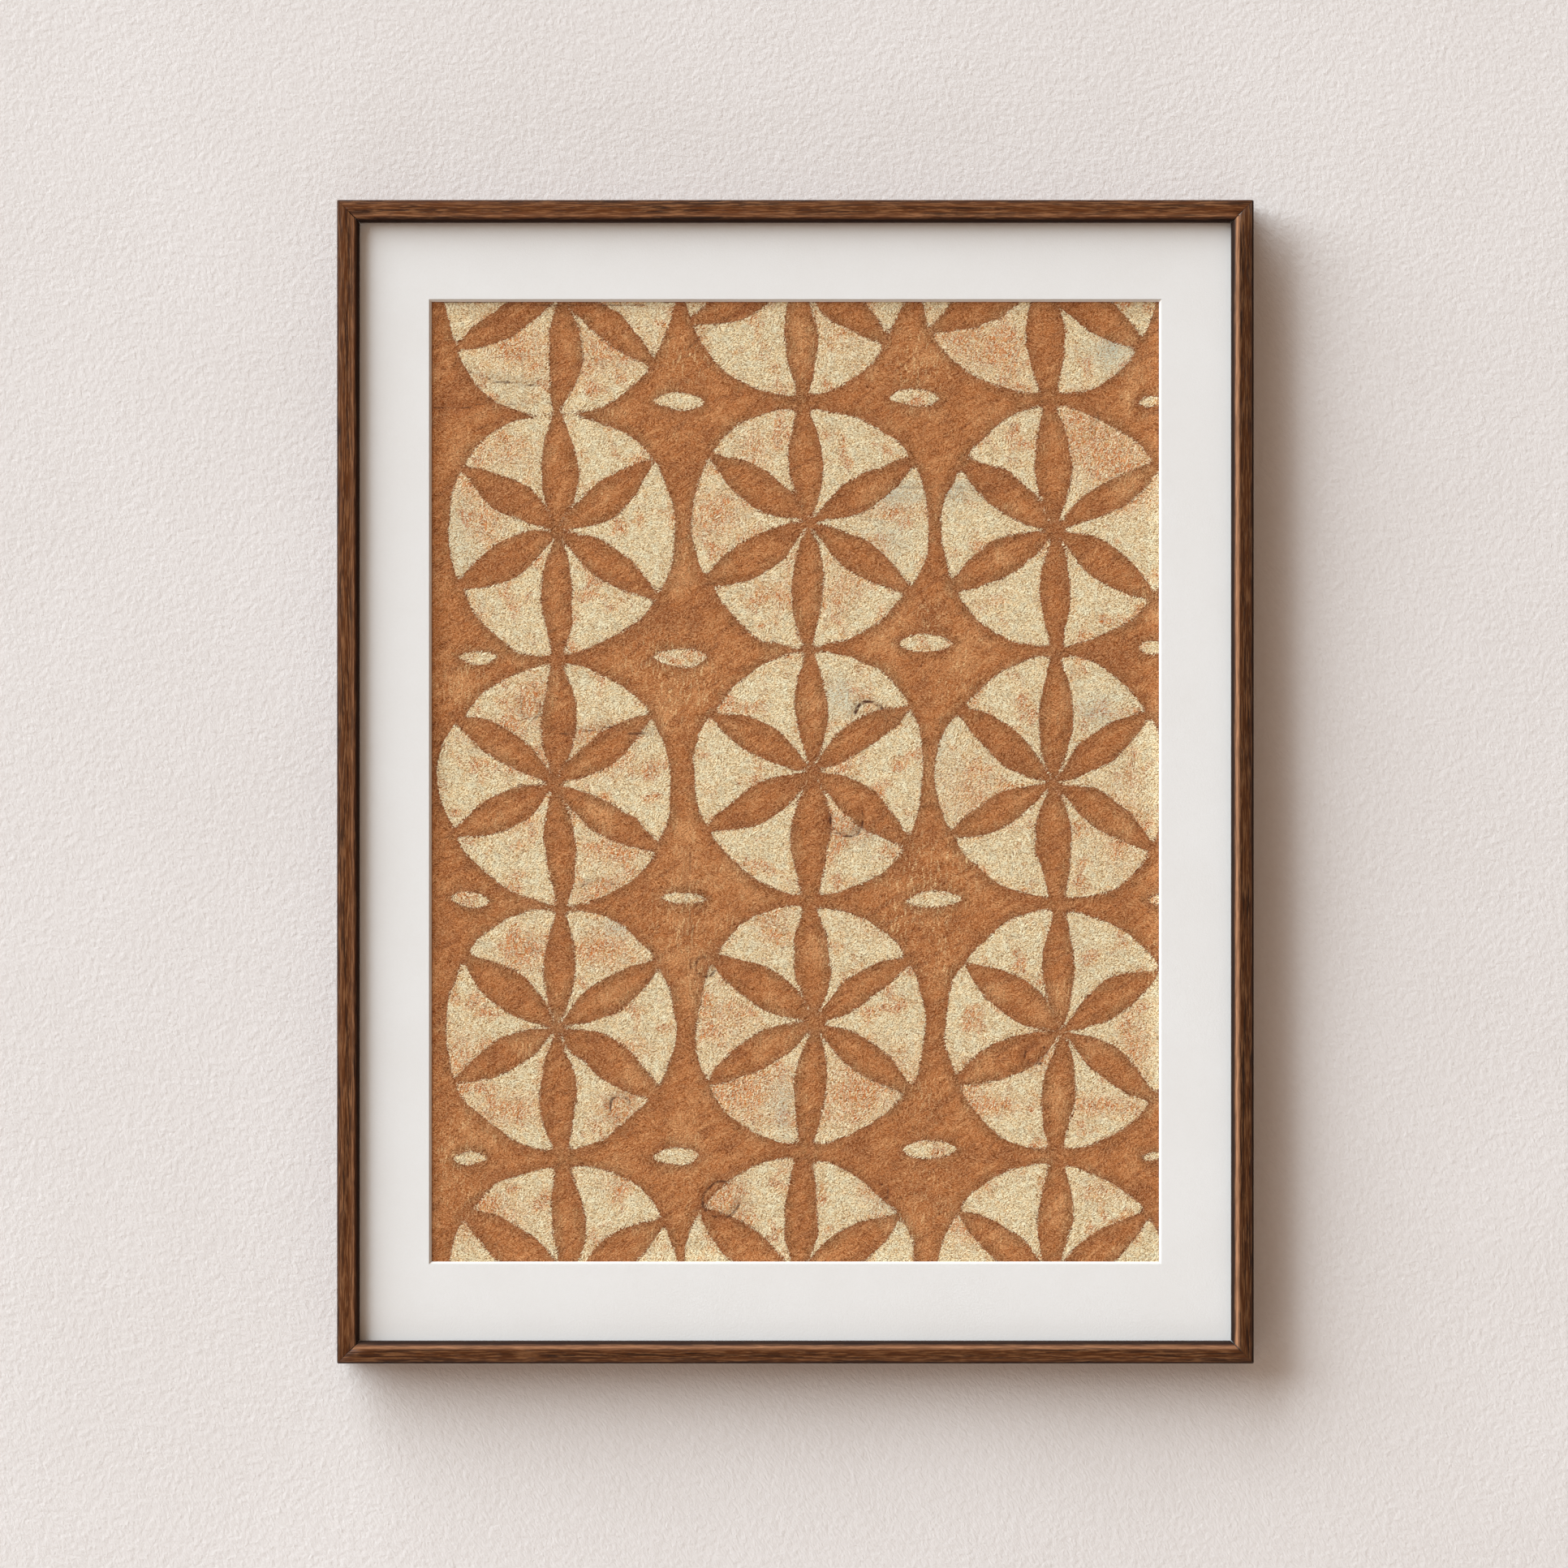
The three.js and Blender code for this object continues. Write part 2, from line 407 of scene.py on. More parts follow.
    # Places where the cream is greyed by dust
    greys: tuple[Blot, ...] = rows_of(
        Blot,
        (199, 271, 14, 12, 1), (60, 181, 20, 7, 1), (100, 182, 10, 8, 0.8), (60, 154, 14, 11, 0.5),
        (190, 45, 16, 12, 0.7), (28, 54, 10, 12, 0.8), (50, -30, 14, 9, 0.5), (60, -262, 12, 12, 0.5),
        (-210, 150, 10, 26, 0.4), (88, 24, 8, 22, 0.5), (-112, -92, 9, 6, 0.8), (170, -104, 10, 14, 0.4),
        (-8, -206, 6, 20, 0.7),
    )

    def warped(self, x: np.ndarray, z: np.ndarray) -> tuple[np.ndarray, np.ndarray]:
        """Moves each place a little, so that outlines waver as hand-cut stencils do.

        Four sizes of value noise are added to each coordinate.

        Args:
            x: Place across, in mm.
            z: Place up, in mm.

        Returns:
            The moved places.
        """
        steps = ((70.0, 2.4), (24.0, 1.2), (11.0, 0.8), (5.0, 0.4))
        moved_x, moved_z = x.copy(), z.copy()
        for index, (size, amount) in enumerate(steps):
            moved_x += amount * drift(x, z, size, self.warp_seeds[0] + index)
            moved_z += amount * drift(x, z, size, self.warp_seeds[1] + index)
        return moved_x, moved_z

    def petal(
        self, x: np.ndarray, z: np.ndarray, root: tuple, tip: tuple, width: float, bow: float
    ) -> np.ndarray:
        """Distance inside a lens-shaped petal, negative outside it.

        The half width is the petal's greatest times a power of the sine of pi times the share of the
        length. The power falls from root to tip, so the root is slender and the tip blunt. The middle line
        bows sideways by a sine.

        Args:
            x: Place across, in mm.
            z: Place up, in mm.
            root: Where the petal starts, near the disc's centre.
            tip: Where it ends, at the rim.
            width: Greatest half width.
            bow: Sideways bow of the middle line.

        Returns:
            The distance in mm.
        """
        run, rise = tip[0] - root[0], tip[1] - root[1]
        length = math.hypot(run, rise)
        along = ((x - root[0]) * run + (z - root[1]) * rise) / length
        over = ((z - root[1]) * run - (x - root[0]) * rise) / length
        share = np.clip(along / length, 0.0, 1.0)
        half = width * np.power(np.sin(math.pi * share), 1.02 - 0.38 * share)
        inside = half - np.abs(over - bow * np.sin(math.pi * share))
        past = np.clip(np.maximum(-along, along - length), 0.0, None)
        return np.where(past > 0, -np.hypot(past, over), inside * 0.93)

    def tips(self, disc: Disc, rng: np.random.Generator) -> list[tuple[float, float]]:
        """Where a disc's six petals end.

        The upright ones meet the next disc's halfway between the two centres. The others end near the rim
        at the lattice's own angles, each a little off.

        Args:
            disc: The disc.
            rng: Seeded source of the small differences.

        Returns:
            Six points (x, z) in mm.
        """
        ends = []
        for angle in self.petal_angles:
            turn = math.radians(angle + rng.uniform(-2.5, 2.5))
            reach = rng.uniform(0.98, 1.04)
            across, up = disc.half_width * math.cos(turn), disc.half_height * math.sin(turn)
            meeting = self.neighbour(disc, angle)
            ends.append(meeting or (disc.x + reach * across, disc.z + reach * up))
        return ends

    def neighbour(self, disc: Disc, angle: float) -> tuple[float, float] | None:
        """Where an upright petal meets the next disc's: halfway between the two centres.

        Args:
            disc: The disc.
            angle: The petal's direction in degrees.

        Returns:
            The point, or None for a slanting petal or at the end of a column.
        """
        if angle not in (90.0, 270.0):
            return None
        step = 1 if angle == 90.0 else -1
        for other in self.discs:
            beside = abs(other.x - disc.x) < disc.half_width
            if beside and 0 < step * (other.z - disc.z) < 3 * disc.half_height:
                return (disc.x + other.x) / 2, (disc.z + other.z) / 2
        return None

    def motif(self, x: np.ndarray, z: np.ndarray) -> np.ndarray:
        """Signed distance to the cream: above 0 inside a cream sector or eye, below 0 on the brown.

        A disc's cream is the lesser of its distance inside the rim and outside all petals and the heart,
        and the whole is the greatest over discs and eyes.

        Args:
            x: Place across, in mm.
            z: Place up, in mm.

        Returns:
            The distance in mm.
        """
        rng = np.random.default_rng(self.hand_seed)
        wx, wz = self.warped(x, z)
        cream = np.full(x.shape, -self.far)
        for disc in self.discs:
            across, up = wx - disc.x, wz - disc.z
            away = np.hypot(across / disc.half_width, up / disc.half_height)
            angle = np.arctan2(up, across)
            lobe = 1 + 0.012 * np.cos(3 * angle + rng.uniform(0, 6.28))
            lobe += 0.008 * np.cos(5 * angle + rng.uniform(0, 6.28))
            heart = np.hypot(across, up) - self.heart_radius * rng.uniform(0.2, 1.6)
            corner = self.corner[0] + self.corner[1] * np.clip(away, 0.0, 1.0)
            sector = soft_least((lobe - away) * disc.half_width, heart, corner)
            for tip in self.tips(disc, rng):
                width = self.petal_half_width * rng.uniform(0.88, 1.12)
                bow = rng.uniform(-1.6, 1.6)
                outside = -self.petal(wx, wz, (disc.x, disc.z), tip, width, bow)
                sector = soft_least(sector, outside, corner)
            cream = np.maximum(cream, sector)
        for eye in self.eyes:
            along = np.clip((wx - eye.x) / eye.half_length, -1.0, 1.0)
            half = eye.half_height * np.power(1 - along * along, 0.75)
            past = np.clip(np.abs(wx - eye.x) - eye.half_length, 0.0, None)
            lens = (half - np.abs(wz - eye.z)) * 0.9 - past - (1 - eye.clarity) * 2.2
            cream = np.maximum(cream, lens)
        return cream

    def lines(self, x: np.ndarray, z: np.ndarray) -> tuple[np.ndarray, np.ndarray, np.ndarray]:
        """Creases and patch outlines: how near, how dark and how deep.

        Args:
            x: Place across, in mm.
            z: Place up, in mm.

        Returns:
            Distance to the nearest line in its own widths, its darkness there, and the valley's depth in mm.
        """
        wx, wz = (place + 1.2 * drift(x, z, 9.0, seed) for place, seed in zip((x, z), self.line_seeds))
        near = np.full(x.shape, self.no_line)
        dark, depth = np.zeros(x.shape), np.zeros(x.shape)
        for line in (*self.creases, *self.rings):
            away = line.distance(wx, wz)
            closer = away / line.width < near
            near = np.where(closer, away / line.width, near)
            dark = np.maximum(dark, line.dark * hill(away, 4.0 + line.width))
            depth += line.depth * (hill(away, 1.8 + line.width) - 0.55 * hill(away - 4.2, 1.9))
        return near, dark, depth

    def sum_of(self, blots: tuple[Blot, ...], x: np.ndarray, z: np.ndarray) -> np.ndarray:
        """Adds soft patches up and clips the sum to 0..1."""
        return np.clip(sum(blot.amount(x, z) for blot in blots), 0.0, 1.0)


def link(name: str, data: bpy.types.ID) -> bpy.types.Object:
    """Makes an object and puts it in the scene.

    Args:
        name: Its name.
        data: The mesh, light or camera that it shows.

    Returns:
        The object.
    """
    obj = bpy.data.objects.new(name, data)
    bpy.context.scene.collection.objects.link(obj)
    return obj


def make_object(
    name: str, points: np.ndarray, faces: list[list[int]], smooth_angle: float | None = None
) -> bpy.types.Object:
    """Makes a mesh object at the origin from points in mm.

    Args:
        name: Name of the piece.
        points: Vertices, one row of x, y, z each, in mm.
        faces: Vertex numbers of each face.
        smooth_angle: Edges sharper than this, in degrees, stay sharp. None leaves the faces flat.

    Returns:
        The linked object.
    """
    mesh = bpy.data.meshes.new(name)
    mesh.from_pydata((points * MM).tolist(), [], faces)
    mesh.update()
    if smooth_angle is not None:
        mesh.shade_smooth()
        mesh.set_sharp_from_angle(angle=math.radians(smooth_angle))
    return link(name, mesh)


def store(obj: bpy.types.Object, name: str, values: np.ndarray) -> None:
    """Keeps a number or a vector for each vertex as a named attribute.

    Args:
        obj: The piece.
        name: Name that its material reads.
        values: One number a vertex, or rows of three.
    """
    kind, key = ("FLOAT_VECTOR", "vector") if values.ndim == 2 else ("FLOAT", "value")
    made = obj.data.attributes.new(name, kind, "POINT")
    made.data.foreach_set(key, values.astype(np.float32).ravel())


def grid_faces(rows: int, columns: int, start: int = 0) -> np.ndarray:
    """Quads of a grid of cells, whose points are stored row by row.

    Args:
        rows: Rows of cells.
        columns: Columns of cells.
        start: Number of the first point.

    Returns:
        Vertex numbers, one row for each quad.
    """
    row, column = np.meshgrid(np.arange(rows), np.arange(columns), indexing="ij")
    first = (row * (columns + 1) + column + start).ravel()
    return np.stack([first, first + 1, first + columns + 2, first + columns + 1], axis=1)


def tube_faces(stations: int, count: int, closed: bool) -> np.ndarray:
    """Quads of a closed section carried along stations, its points stored station by station.

    Args:
        stations: Sections along the way.
        count: Points round the section.
        closed: Whether the last section joins the first.

    Returns:
        Vertex numbers, one row for each quad.
    """
    lengths = stations if closed else stations - 1
    station, place = np.meshgrid(np.arange(lengths), np.arange(count), indexing="ij")
    after, ahead = (place + 1) % count, (station + 1) % stations
    corners = station * count + place, station * count + after, ahead * count + after, ahead * count + place
    return np.stack(corners, axis=-1).reshape(-1, 4)


class Graph:
    """Adds nodes to a tree and wires them, so that a finish reads as a list of steps."""

    def __init__(self, tree: bpy.types.NodeTree) -> None:
        """Keeps the tree that the nodes go into."""
        self.tree = tree

    def feed(self, socket: Socket, value: Value) -> None:
        """Links a socket to another, or sets its own value.

        Args:
            socket: The input.
            value: An output to link, or a number or colour.
        """
        if isinstance(value, bpy.types.NodeSocket):
            self.tree.links.new(value, socket)
        elif socket.type == "RGBA" and len(value) == 3:
            socket.default_value = (*value, 1.0)
        else:
            socket.default_value = value

    def node(self, kind: str, inputs: dict[Any, Value] | None = None, **settings: Any) -> bpy.types.Node:
        """Makes a node.

        Args:
            kind: Blender's name of the node type.
            inputs: Values or links by input name or number.
            **settings: Properties of the node.

        Returns:
            The node.
        """
        made = self.tree.nodes.new(kind)
        for key, value in settings.items():
            setattr(made, key, value)
        for key, value in (inputs or {}).items():
            self.feed(made.inputs[key], value)
        return made

    def math(self, operation: str, a: Value, b: Value = 0.0, clamp: bool = False) -> Socket:
        """One arithmetic step on two values."""
        return self.node("ShaderNodeMath", {0: a, 1: b}, operation=operation, use_clamp=clamp).outputs[0]

    def times(self, a: Value, b: Value) -> Socket:
        """Product of two values."""
        return self.math("MULTIPLY", a, b)

    def plus(self, a: Value, b: Value, clamp: bool = False) -> Socket:
        """Sum of two values, clipped to 0..1 where asked."""
        return self.math("ADD", a, b, clamp)

    def minus(self, a: Value, b: Value) -> Socket:
        """Difference of two values."""
        return self.math("SUBTRACT", a, b)

    def vectors(self, operation: str, a: Value, b: Value) -> Socket:
        """One arithmetic step on two vectors."""
        return self.node("ShaderNodeVectorMath", {0: a, 1: b}, operation=operation).outputs[0]

    def blend(self, factor: Value, a: Value, b: Value, mode: str = "MIX") -> Socket:
        """Mixes two colours."""
        inputs, kind = {0: factor, 6: a, 7: b}, {"data_type": "RGBA", "blend_type": mode}
        return self.node("ShaderNodeMix", inputs, clamp_factor=True, **kind).outputs[2]

    def lerp(self, factor: Value, a: Value, b: Value) -> Socket:
        """Mixes two numbers."""
        inputs = {0: factor, 2: a, 3: b}
        return self.node("ShaderNodeMix", inputs, data_type="FLOAT", clamp_factor=True).outputs[0]

    def span(
        self, value: Value, low: float, high: float, to_low: float = 0.0, to_high: float = 1.0
    ) -> Socket:
        """Carries low..high to to_low..to_high along a smooth step, clipped at both ends."""
        numbers = {0: value, 1: low, 2: high, 3: to_low, 4: to_high}
        return self.node("ShaderNodeMapRange", numbers, interpolation_type="SMOOTHSTEP").outputs[0]

    def attribute(self, name: str) -> bpy.types.Node:
        """A reader of one of the piece's attributes."""
        return self.node("ShaderNodeAttribute", attribute_name=name, attribute_type="GEOMETRY")

    def mark(self, name: str) -> Socket:
        """A number from one of the piece's attributes."""
        return self.attribute(name).outputs["Fac"]

    def where(self) -> Socket:
        """The piece's object coordinates, in metres."""
        return self.node("ShaderNodeTexCoord").outputs["Object"]

    def place(self, vector: Socket, scale: tuple = (1, 1, 1), move: tuple = (0, 0, 0)) -> Socket:
        """Moves and stretches the coordinates of a pattern."""
        return self.node("ShaderNodeMapping", {"Vector": vector, "Location": move, "Scale": scale}).outputs[0]

    def noise(
        self, vector: Socket, scale: float, detail: float = 2.0, rough: float = 0.5, warp: float = 0.0
    ) -> Socket:
        """Soft random pattern from 0 to 1."""
        numbers = {"Vector": vector, "Scale": scale, "Detail": detail, "Roughness": rough, "Distortion": warp}
        return self.node("ShaderNodeTexNoise", numbers).outputs[0]

    def bump(self, height: Socket, distance: float, strength: float) -> Socket:
        """Relief from a height, distance in metres."""
        numbers = {"Height": height, "Distance": distance, "Strength": strength}
        return self.node("ShaderNodeBump", numbers).outputs[0]

    def fibre(self, vector: Socket, turn: float, length: float, width: float) -> tuple[Socket, ...]:
        """Height and hairlines of the shared fibre: turn in radians, length and width of a stroke in mm."""
        inputs = {"Vector": vector, "Turn": turn, "Length": length, "Width": width}
        return tuple(self.node("ShaderNodeGroup", inputs, node_tree=Effects.fibre()).outputs)

    def mottle(self, vector: Socket, broad: float, fine: float) -> tuple[Socket, ...]:
        """Broad and fine clouds of the shared mottle, their sizes in mm."""
        inputs = {"Vector": vector, "Broad size": broad, "Fine size": fine}
        return tuple(self.node("ShaderNodeGroup", inputs, node_tree=Effects.mottle()).outputs)


class Effects:
    """Shader effects that more than one finish uses, each a node group built at its first use."""

    @staticmethod
    def start(name: str, inputs: dict[str, float], outputs: tuple[str, ...]) -> tuple:
        """Makes an empty group that takes a vector and numbers, and gives numbers.

        Args:
            name: Name of the effect.
            inputs: Name and first value of each number.
            outputs: Name of each output.

        Returns:
            The group, a graph on it, the sockets it is given and the sockets it puts out.
        """
        group = bpy.data.node_groups.new(name, "ShaderNodeTree")
        group.interface.new_socket(name="Vector", in_out="INPUT", socket_type="NodeSocketVector")
        for key, value in inputs.items():
            made = group.interface.new_socket(name=key, in_out="INPUT", socket_type="NodeSocketFloat")
            made.default_value = value
        for key in outputs:
            group.interface.new_socket(name=key, in_out="OUTPUT", socket_type="NodeSocketFloat")
        graph = Graph(group)
        return group, graph, graph.node("NodeGroupInput").outputs, graph.node("NodeGroupOutput").inputs

    @staticmethod
    @cache
    def fibre() -> bpy.types.NodeTree:
        """Matted short strokes lying in one main direction, and the hairlines between them.

        The coordinates are turned about the view axis and stretched, so that soft noise becomes strokes. A
        hairline runs wherever the noise passes its middle value.

        Returns:
            The group, with outputs Height and Line.
        """
        sizes = {"Turn": 0.0, "Length": 2.6, "Width": 0.7}
        group, graph, given, out = Effects.start("matted fibre", sizes, ("Height", "Line"))
        about = {"Vector": given["Vector"], "Axis": (0.0, 1.0, 0.0), "Angle": given["Turn"]}
        spin = graph.node("ShaderNodeVectorRotate", about, rotation_type="AXIS_ANGLE").outputs[0]
        along = graph.math("DIVIDE", 1000.0, given["Length"])
        across = graph.math("DIVIDE", 1000.0, given["Width"])
        stretch = graph.node("ShaderNodeCombineXYZ", {"X": along, "Y": 0.0, "Z": across}).outputs[0]
        height = graph.noise(graph.vectors("MULTIPLY", spin, stretch), 1.0, 1.5, 0.55, 0.7)
        from_middle = graph.math("ABSOLUTE", graph.minus(height, 0.5))
        graph.feed(out["Height"], height)
        graph.feed(out["Line"], graph.span(from_middle, 0.0, 0.05, 1.0, 0.0))
        return group

    @staticmethod
    @cache
    def mottle() -> bpy.types.NodeTree:
        """Cloudy unevenness of a dyed, painted or paper surface.

        Returns:
            The group, with outputs Broad and Fine, each about 0 to 1.
        """
        sizes = {"Broad size": 40.0, "Fine size": 3.0}
        group, graph, given, out = Effects.start("mottle", sizes, ("Broad", "Fine"))
        for key, detail in (("Broad", 3.0), ("Fine", 4.0)):
            scale = graph.math("DIVIDE", 1000.0, given[f"{key} size"])
            clouds = graph.noise(given["Vector"], scale, detail, 0.6)
            graph.feed(out[key], graph.span(clouds, 0.25, 0.75))
        return group


def new_material(name: str) -> tuple[bpy.types.Material, Graph, bpy.types.Node]:
    """Makes a material with a Principled shader.

    Args:
        name: Name of the finish.

    Returns:
        The material, a graph on its tree and its shader node.
    """
    material = bpy.data.materials.new(name)
    material.use_nodes = True
    tree = material.node_tree
    return material, Graph(tree), tree.nodes["Principled BSDF"]


def srgb(red: float, green: float, blue: float) -> tuple[float, float, float]:
    """A colour given as 0 to 255 on a screen, as the linear light that a shader takes."""
    shares = (red / 255, green / 255, blue / 255)
    return tuple(c / 12.92 if c <= 0.04045 else ((c + 0.055) / 1.055) ** 2.4 for c in shares)


@dataclass(frozen=True)
class TapaFinish:
    """Painted, beaten bark: cream and brown with stains, pooled dye, scuffs and matted fibre.

    Strokes are given by turn in radians, length and width in mm, and clouds by two sizes in mm.
    """

    name: str = "painted bark cloth"
    cream: tuple = srgb(245, 211, 156)
    bleached: tuple = srgb(255, 242, 204)
    tan: tuple = srgb(232, 170, 98)
    smudge: tuple = srgb(208, 132, 68)
    rub: tuple = srgb(208, 112, 40)
    brown: tuple = srgb(185, 113, 62)
    brown_ochre: tuple = srgb(208, 144, 92)
    brown_umber: tuple = srgb(152, 86, 46)
    pool: tuple = srgb(118, 62, 38)
    pool_olive: tuple = srgb(124, 78, 42)
    cream_lit: tuple = srgb(255, 246, 210)
    brown_lit: tuple = srgb(255, 204, 148)
    shadow: tuple = (0.28, 0.2, 0.13)
    grey: tuple = srgb(176, 186, 176)
    line: tuple = srgb(58, 34, 26)
    lays: tuple = ((0.5, 2.1, 0.68), (-0.42, 2.0, 0.66), (1.25, 1.9, 0.66), (0.2, 1.0, 0.46))
    wrinkle_lays: tuple = ((0.7, 7.0, 1.7), (-0.25, 7.0, 1.7))
    wander: tuple = (0.003, 0.0, 0.003)
    cream_clouds: tuple = (17.0, 5.0)
    brown_clouds: tuple = (30.0, 7.0)
    rub_stroke: tuple = (1.35, 3.6, 1.1)
    brush_stroke: tuple = (0.55, 16.0, 4.0)
    scuff_stroke: tuple = (1.45, 6.0, 1.5)
    relief: tuple = (0.0012, 0.8)

    def strokes(self, g: Graph, where: Socket) -> tuple[Socket, Socket, Socket]:
        """Fibres that lie one way here and another way there, a finer crossing layer, and fine wrinkles.

        Args:
            g: The material's graph.
            where: Object coordinates.

        Returns:
            The main strokes, the fine layer and the wrinkles, each about 0 to 1.
        """
        wander = g.node("ShaderNodeTexNoise", {"Vector": where, "Scale": 160.0, "Detail": 2.0})
        pushed = g.vectors("MULTIPLY", wander.outputs["Color"], self.wander)
        bent = g.vectors("ADD", where, pushed)
        laid = [g.fibre(bent, *lay)[0] for lay in self.lays]
        lie = g.span(g.noise(where, 70.0, 1.0), 0.44, 0.56)
        cross = g.span(g.noise(g.place(where, move=(3, 1, 7)), 110.0, 1.0), 0.52, 0.6)
        wrinkles = [g.fibre(bent, *lay)[1] for lay in self.wrinkle_lays]
        wrinkled = g.times(g.lerp(lie, wrinkles[0], wrinkles[1]), g.span(laid[3], 0.35, 0.6, 0.2, 1.0))
        return g.lerp(cross, g.lerp(lie, laid[0], laid[1]), laid[2]), laid[3], wrinkled

    def matted(
        self, g: Graph, base: Socket, layers: tuple[Socket, ...], tint: tuple, light: float, soft: float
    ) -> Socket:
        """Shades a colour with its fibres: lit strokes, shaded strokes and hairline wrinkles.

        Args:
            g: The material's graph.
            base: The colour to shade.
            layers: The main strokes, the fine strokes and the wrinkles.
            tint: Colour of a fibre in full light.
            light: How far a lit stroke goes to it.
            soft: How gently a stroke fades at its sides. A small number gives crisp strokes.

        Returns:
            The shaded colour.
        """
        main, fine, wrinkled = layers
        lit = g.blend(light, base, tint)
        dark = g.blend(1.0, base, self.shadow, "MULTIPLY")
        colour = g.blend(g.span(main, 0.5, 0.5 + soft, 0.0, 0.9), base, lit)
        colour = g.blend(g.span(main, 0.48, 0.48 - soft, 0.0, 0.8), colour, dark)
        colour = g.blend(g.span(fine, 0.5, 0.5 + soft, 0.0, 0.8), colour, lit)
        colour = g.blend(g.span(fine, 0.48, 0.48 - soft, 0.0, 0.75), colour, dark)
        return g.blend(g.times(wrinkled, 0.4), colour, dark)

    def cream_colour(self, g: Graph, where: Socket, layers: tuple[Socket, ...]) -> Socket:
        """Undyed bark: light and dark dashes, bleached and tan areas, orange rubs and grey specks.

        Args:
            g: The material's graph.
            where: Object coordinates.
            layers: The main strokes, the fine strokes and the wrinkles.

        Returns:
            The colour.
        """
        main = layers[0]
        motif = g.mark("motif")
        stain = g.mark("stain")
        grey = g.mark("grey")
        broad, medium = g.mottle(where, *self.cream_clouds)
        base = g.blend(g.span(medium, 0.4, 0.9), self.cream, self.bleached)
        washed = g.plus(g.span(broad, 0.42, 0.88, 0.0, 0.8), stain)
        washed = g.times(washed, g.span(medium, 0.95, 0.15, 0.35, 1.0))
        washed = g.plus(washed, g.span(motif, 0.2, 5.0, 0.35, 0.0), clamp=True)
        base = g.blend(washed, base, self.tan)
        patchy = g.plus(broad, g.times(medium, 0.5))
        spot = g.times(stain, g.span(medium, 0.3, 0.6))
        smudged = g.plus(g.span(patchy, 0.95, 1.25), spot, clamp=True)
        base = g.blend(g.times(smudged, g.span(main, 0.62, 0.44, 0.5, 1.0)), base, self.smudge)
        colour = self.matted(g, base, layers, self.cream_lit, 0.9, 0.09)
        fleck = g.fibre(where, *self.rub_stroke)[0]
        rub_and_highlight = g.plus(g.span(broad, 0.6, 1.0, 0.0, 0.9), stain, clamp=True)
        rub_and_highlight = g.times(g.span(fleck, 0.5, 0.6), rub_and_highlight)
        colour = g.blend(g.times(rub_and_highlight, 0.65), colour, self.rub)
        cool = g.times(grey, g.span(main, 0.4, 0.55))
        return g.blend(g.times(cool, 0.6), colour, self.grey)

    def brown_colour(self, g: Graph, where: Socket, layers: tuple[Socket, ...]) -> Socket:
        """Dyed bark: mottled, darker where the dye pooled along an edge, and scuffed through to the undyed
        fibre.

        Args:
            g: The material's graph.
            where: Object coordinates.
            layers: The main strokes, the fine strokes and the wrinkles.

        Returns:
            The colour.
        """
        fine = layers[1]
        motif = g.mark("motif")
        scuff = g.mark("scuff")
        broad, medium = g.mottle(g.place(where, move=(5, 2, 9)), *self.brown_clouds)
        brushed = g.fibre(where, *self.brush_stroke)[0]
        colour = g.blend(g.span(brushed, 0.5, 0.7, 0.0, 0.75), self.brown, self.brown_ochre)
        colour = g.blend(g.span(brushed, 0.5, 0.3, 0.0, 0.85), colour, self.brown_umber)
        colour = g.blend(g.span(broad, 0.55, 1.0, 0.0, 0.85), colour, self.brown_ochre)
        colour = g.blend(g.span(broad, 0.45, 0.0, 0.0, 0.7), colour, self.brown_umber)
        uneven = g.minus(motif, g.times(g.minus(medium, 0.5), 4.0))
        rim = g.times(g.span(uneven, -9.0, -0.8), g.span(broad, 0.1, 0.8, 0.45, 1.0))
        pool = g.blend(g.span(medium, 0.35, 0.75), self.pool_olive, self.pool)
        colour = g.blend(g.times(rim, 0.58), colour, pool)
        colour = g.blend(g.times(g.span(uneven, -2.4, -0.6), 0.28), colour, self.pool)
        colour = self.matted(g, colour, layers, self.brown_lit, 0.38, 0.15)
        wear_and_highlight = g.fibre(where, *self.scuff_stroke)[0]
        bare_and_highlit = g.times(g.span(wear_and_highlight, 0.5, 0.66), g.span(fine, 0.44, 0.58))
        bare_and_highlit = g.times(bare_and_highlit, g.plus(scuff, g.span(broad, 0.55, 1.0, 0.05, 0.6), clamp=True))
        return g.blend(g.times(bare_and_highlit, 0.85), colour, self.cream)

    def build(self) -> bpy.types.Material:
        """Builds the node tree.

        Returns:
            The material.
        """
        material, g, shader = new_material(self.name)
        where = g.where()
        motif = g.mark("motif")
        near = g.mark("line_near")
        dark = g.mark("line_dark")
        layers = self.strokes(g, where)
        main, fine, wrinkled = layers
        torn = g.span(g.noise(where, 130.0, 1.0), 0.4, 0.65, 3.0, 10.0)
        ragged = g.times(g.minus(g.lerp(0.4, main, fine), 0.5), torn)
        is_cream = g.span(g.plus(motif, ragged), -0.4, 0.5)
        cream = self.cream_colour(g, where, layers)
        brown = self.brown_colour(g, where, layers)
        colour = g.blend(is_cream, brown, cream)
        broken = g.span(g.noise(where, 260.0, 1.0), 0.3, 0.55, 0.3, 1.0)
        drawn = g.times(g.span(near, 1.15, 0.35), g.times(dark, broken))
        colour = g.blend(drawn, colour, self.line)
        colour = g.blend(g.times(dark, 0.25), colour, self.pool)
        g.feed(shader.inputs["Base Color"], colour)
        tall = g.times(g.lerp(g.lerp(is_cream, 0.5, 0.2), main, fine), g.lerp(is_cream, 0.7, 1.0))
        tall = g.minus(tall, g.times(wrinkled, 0.16))
        g.feed(shader.inputs["Normal"], g.bump(tall, *self.relief))
        g.feed(shader.inputs["Roughness"], g.span(main, 0.3, 0.7, 0.98, 0.86))
        shader.inputs["Specular IOR Level"].default_value = 0.08
        return material


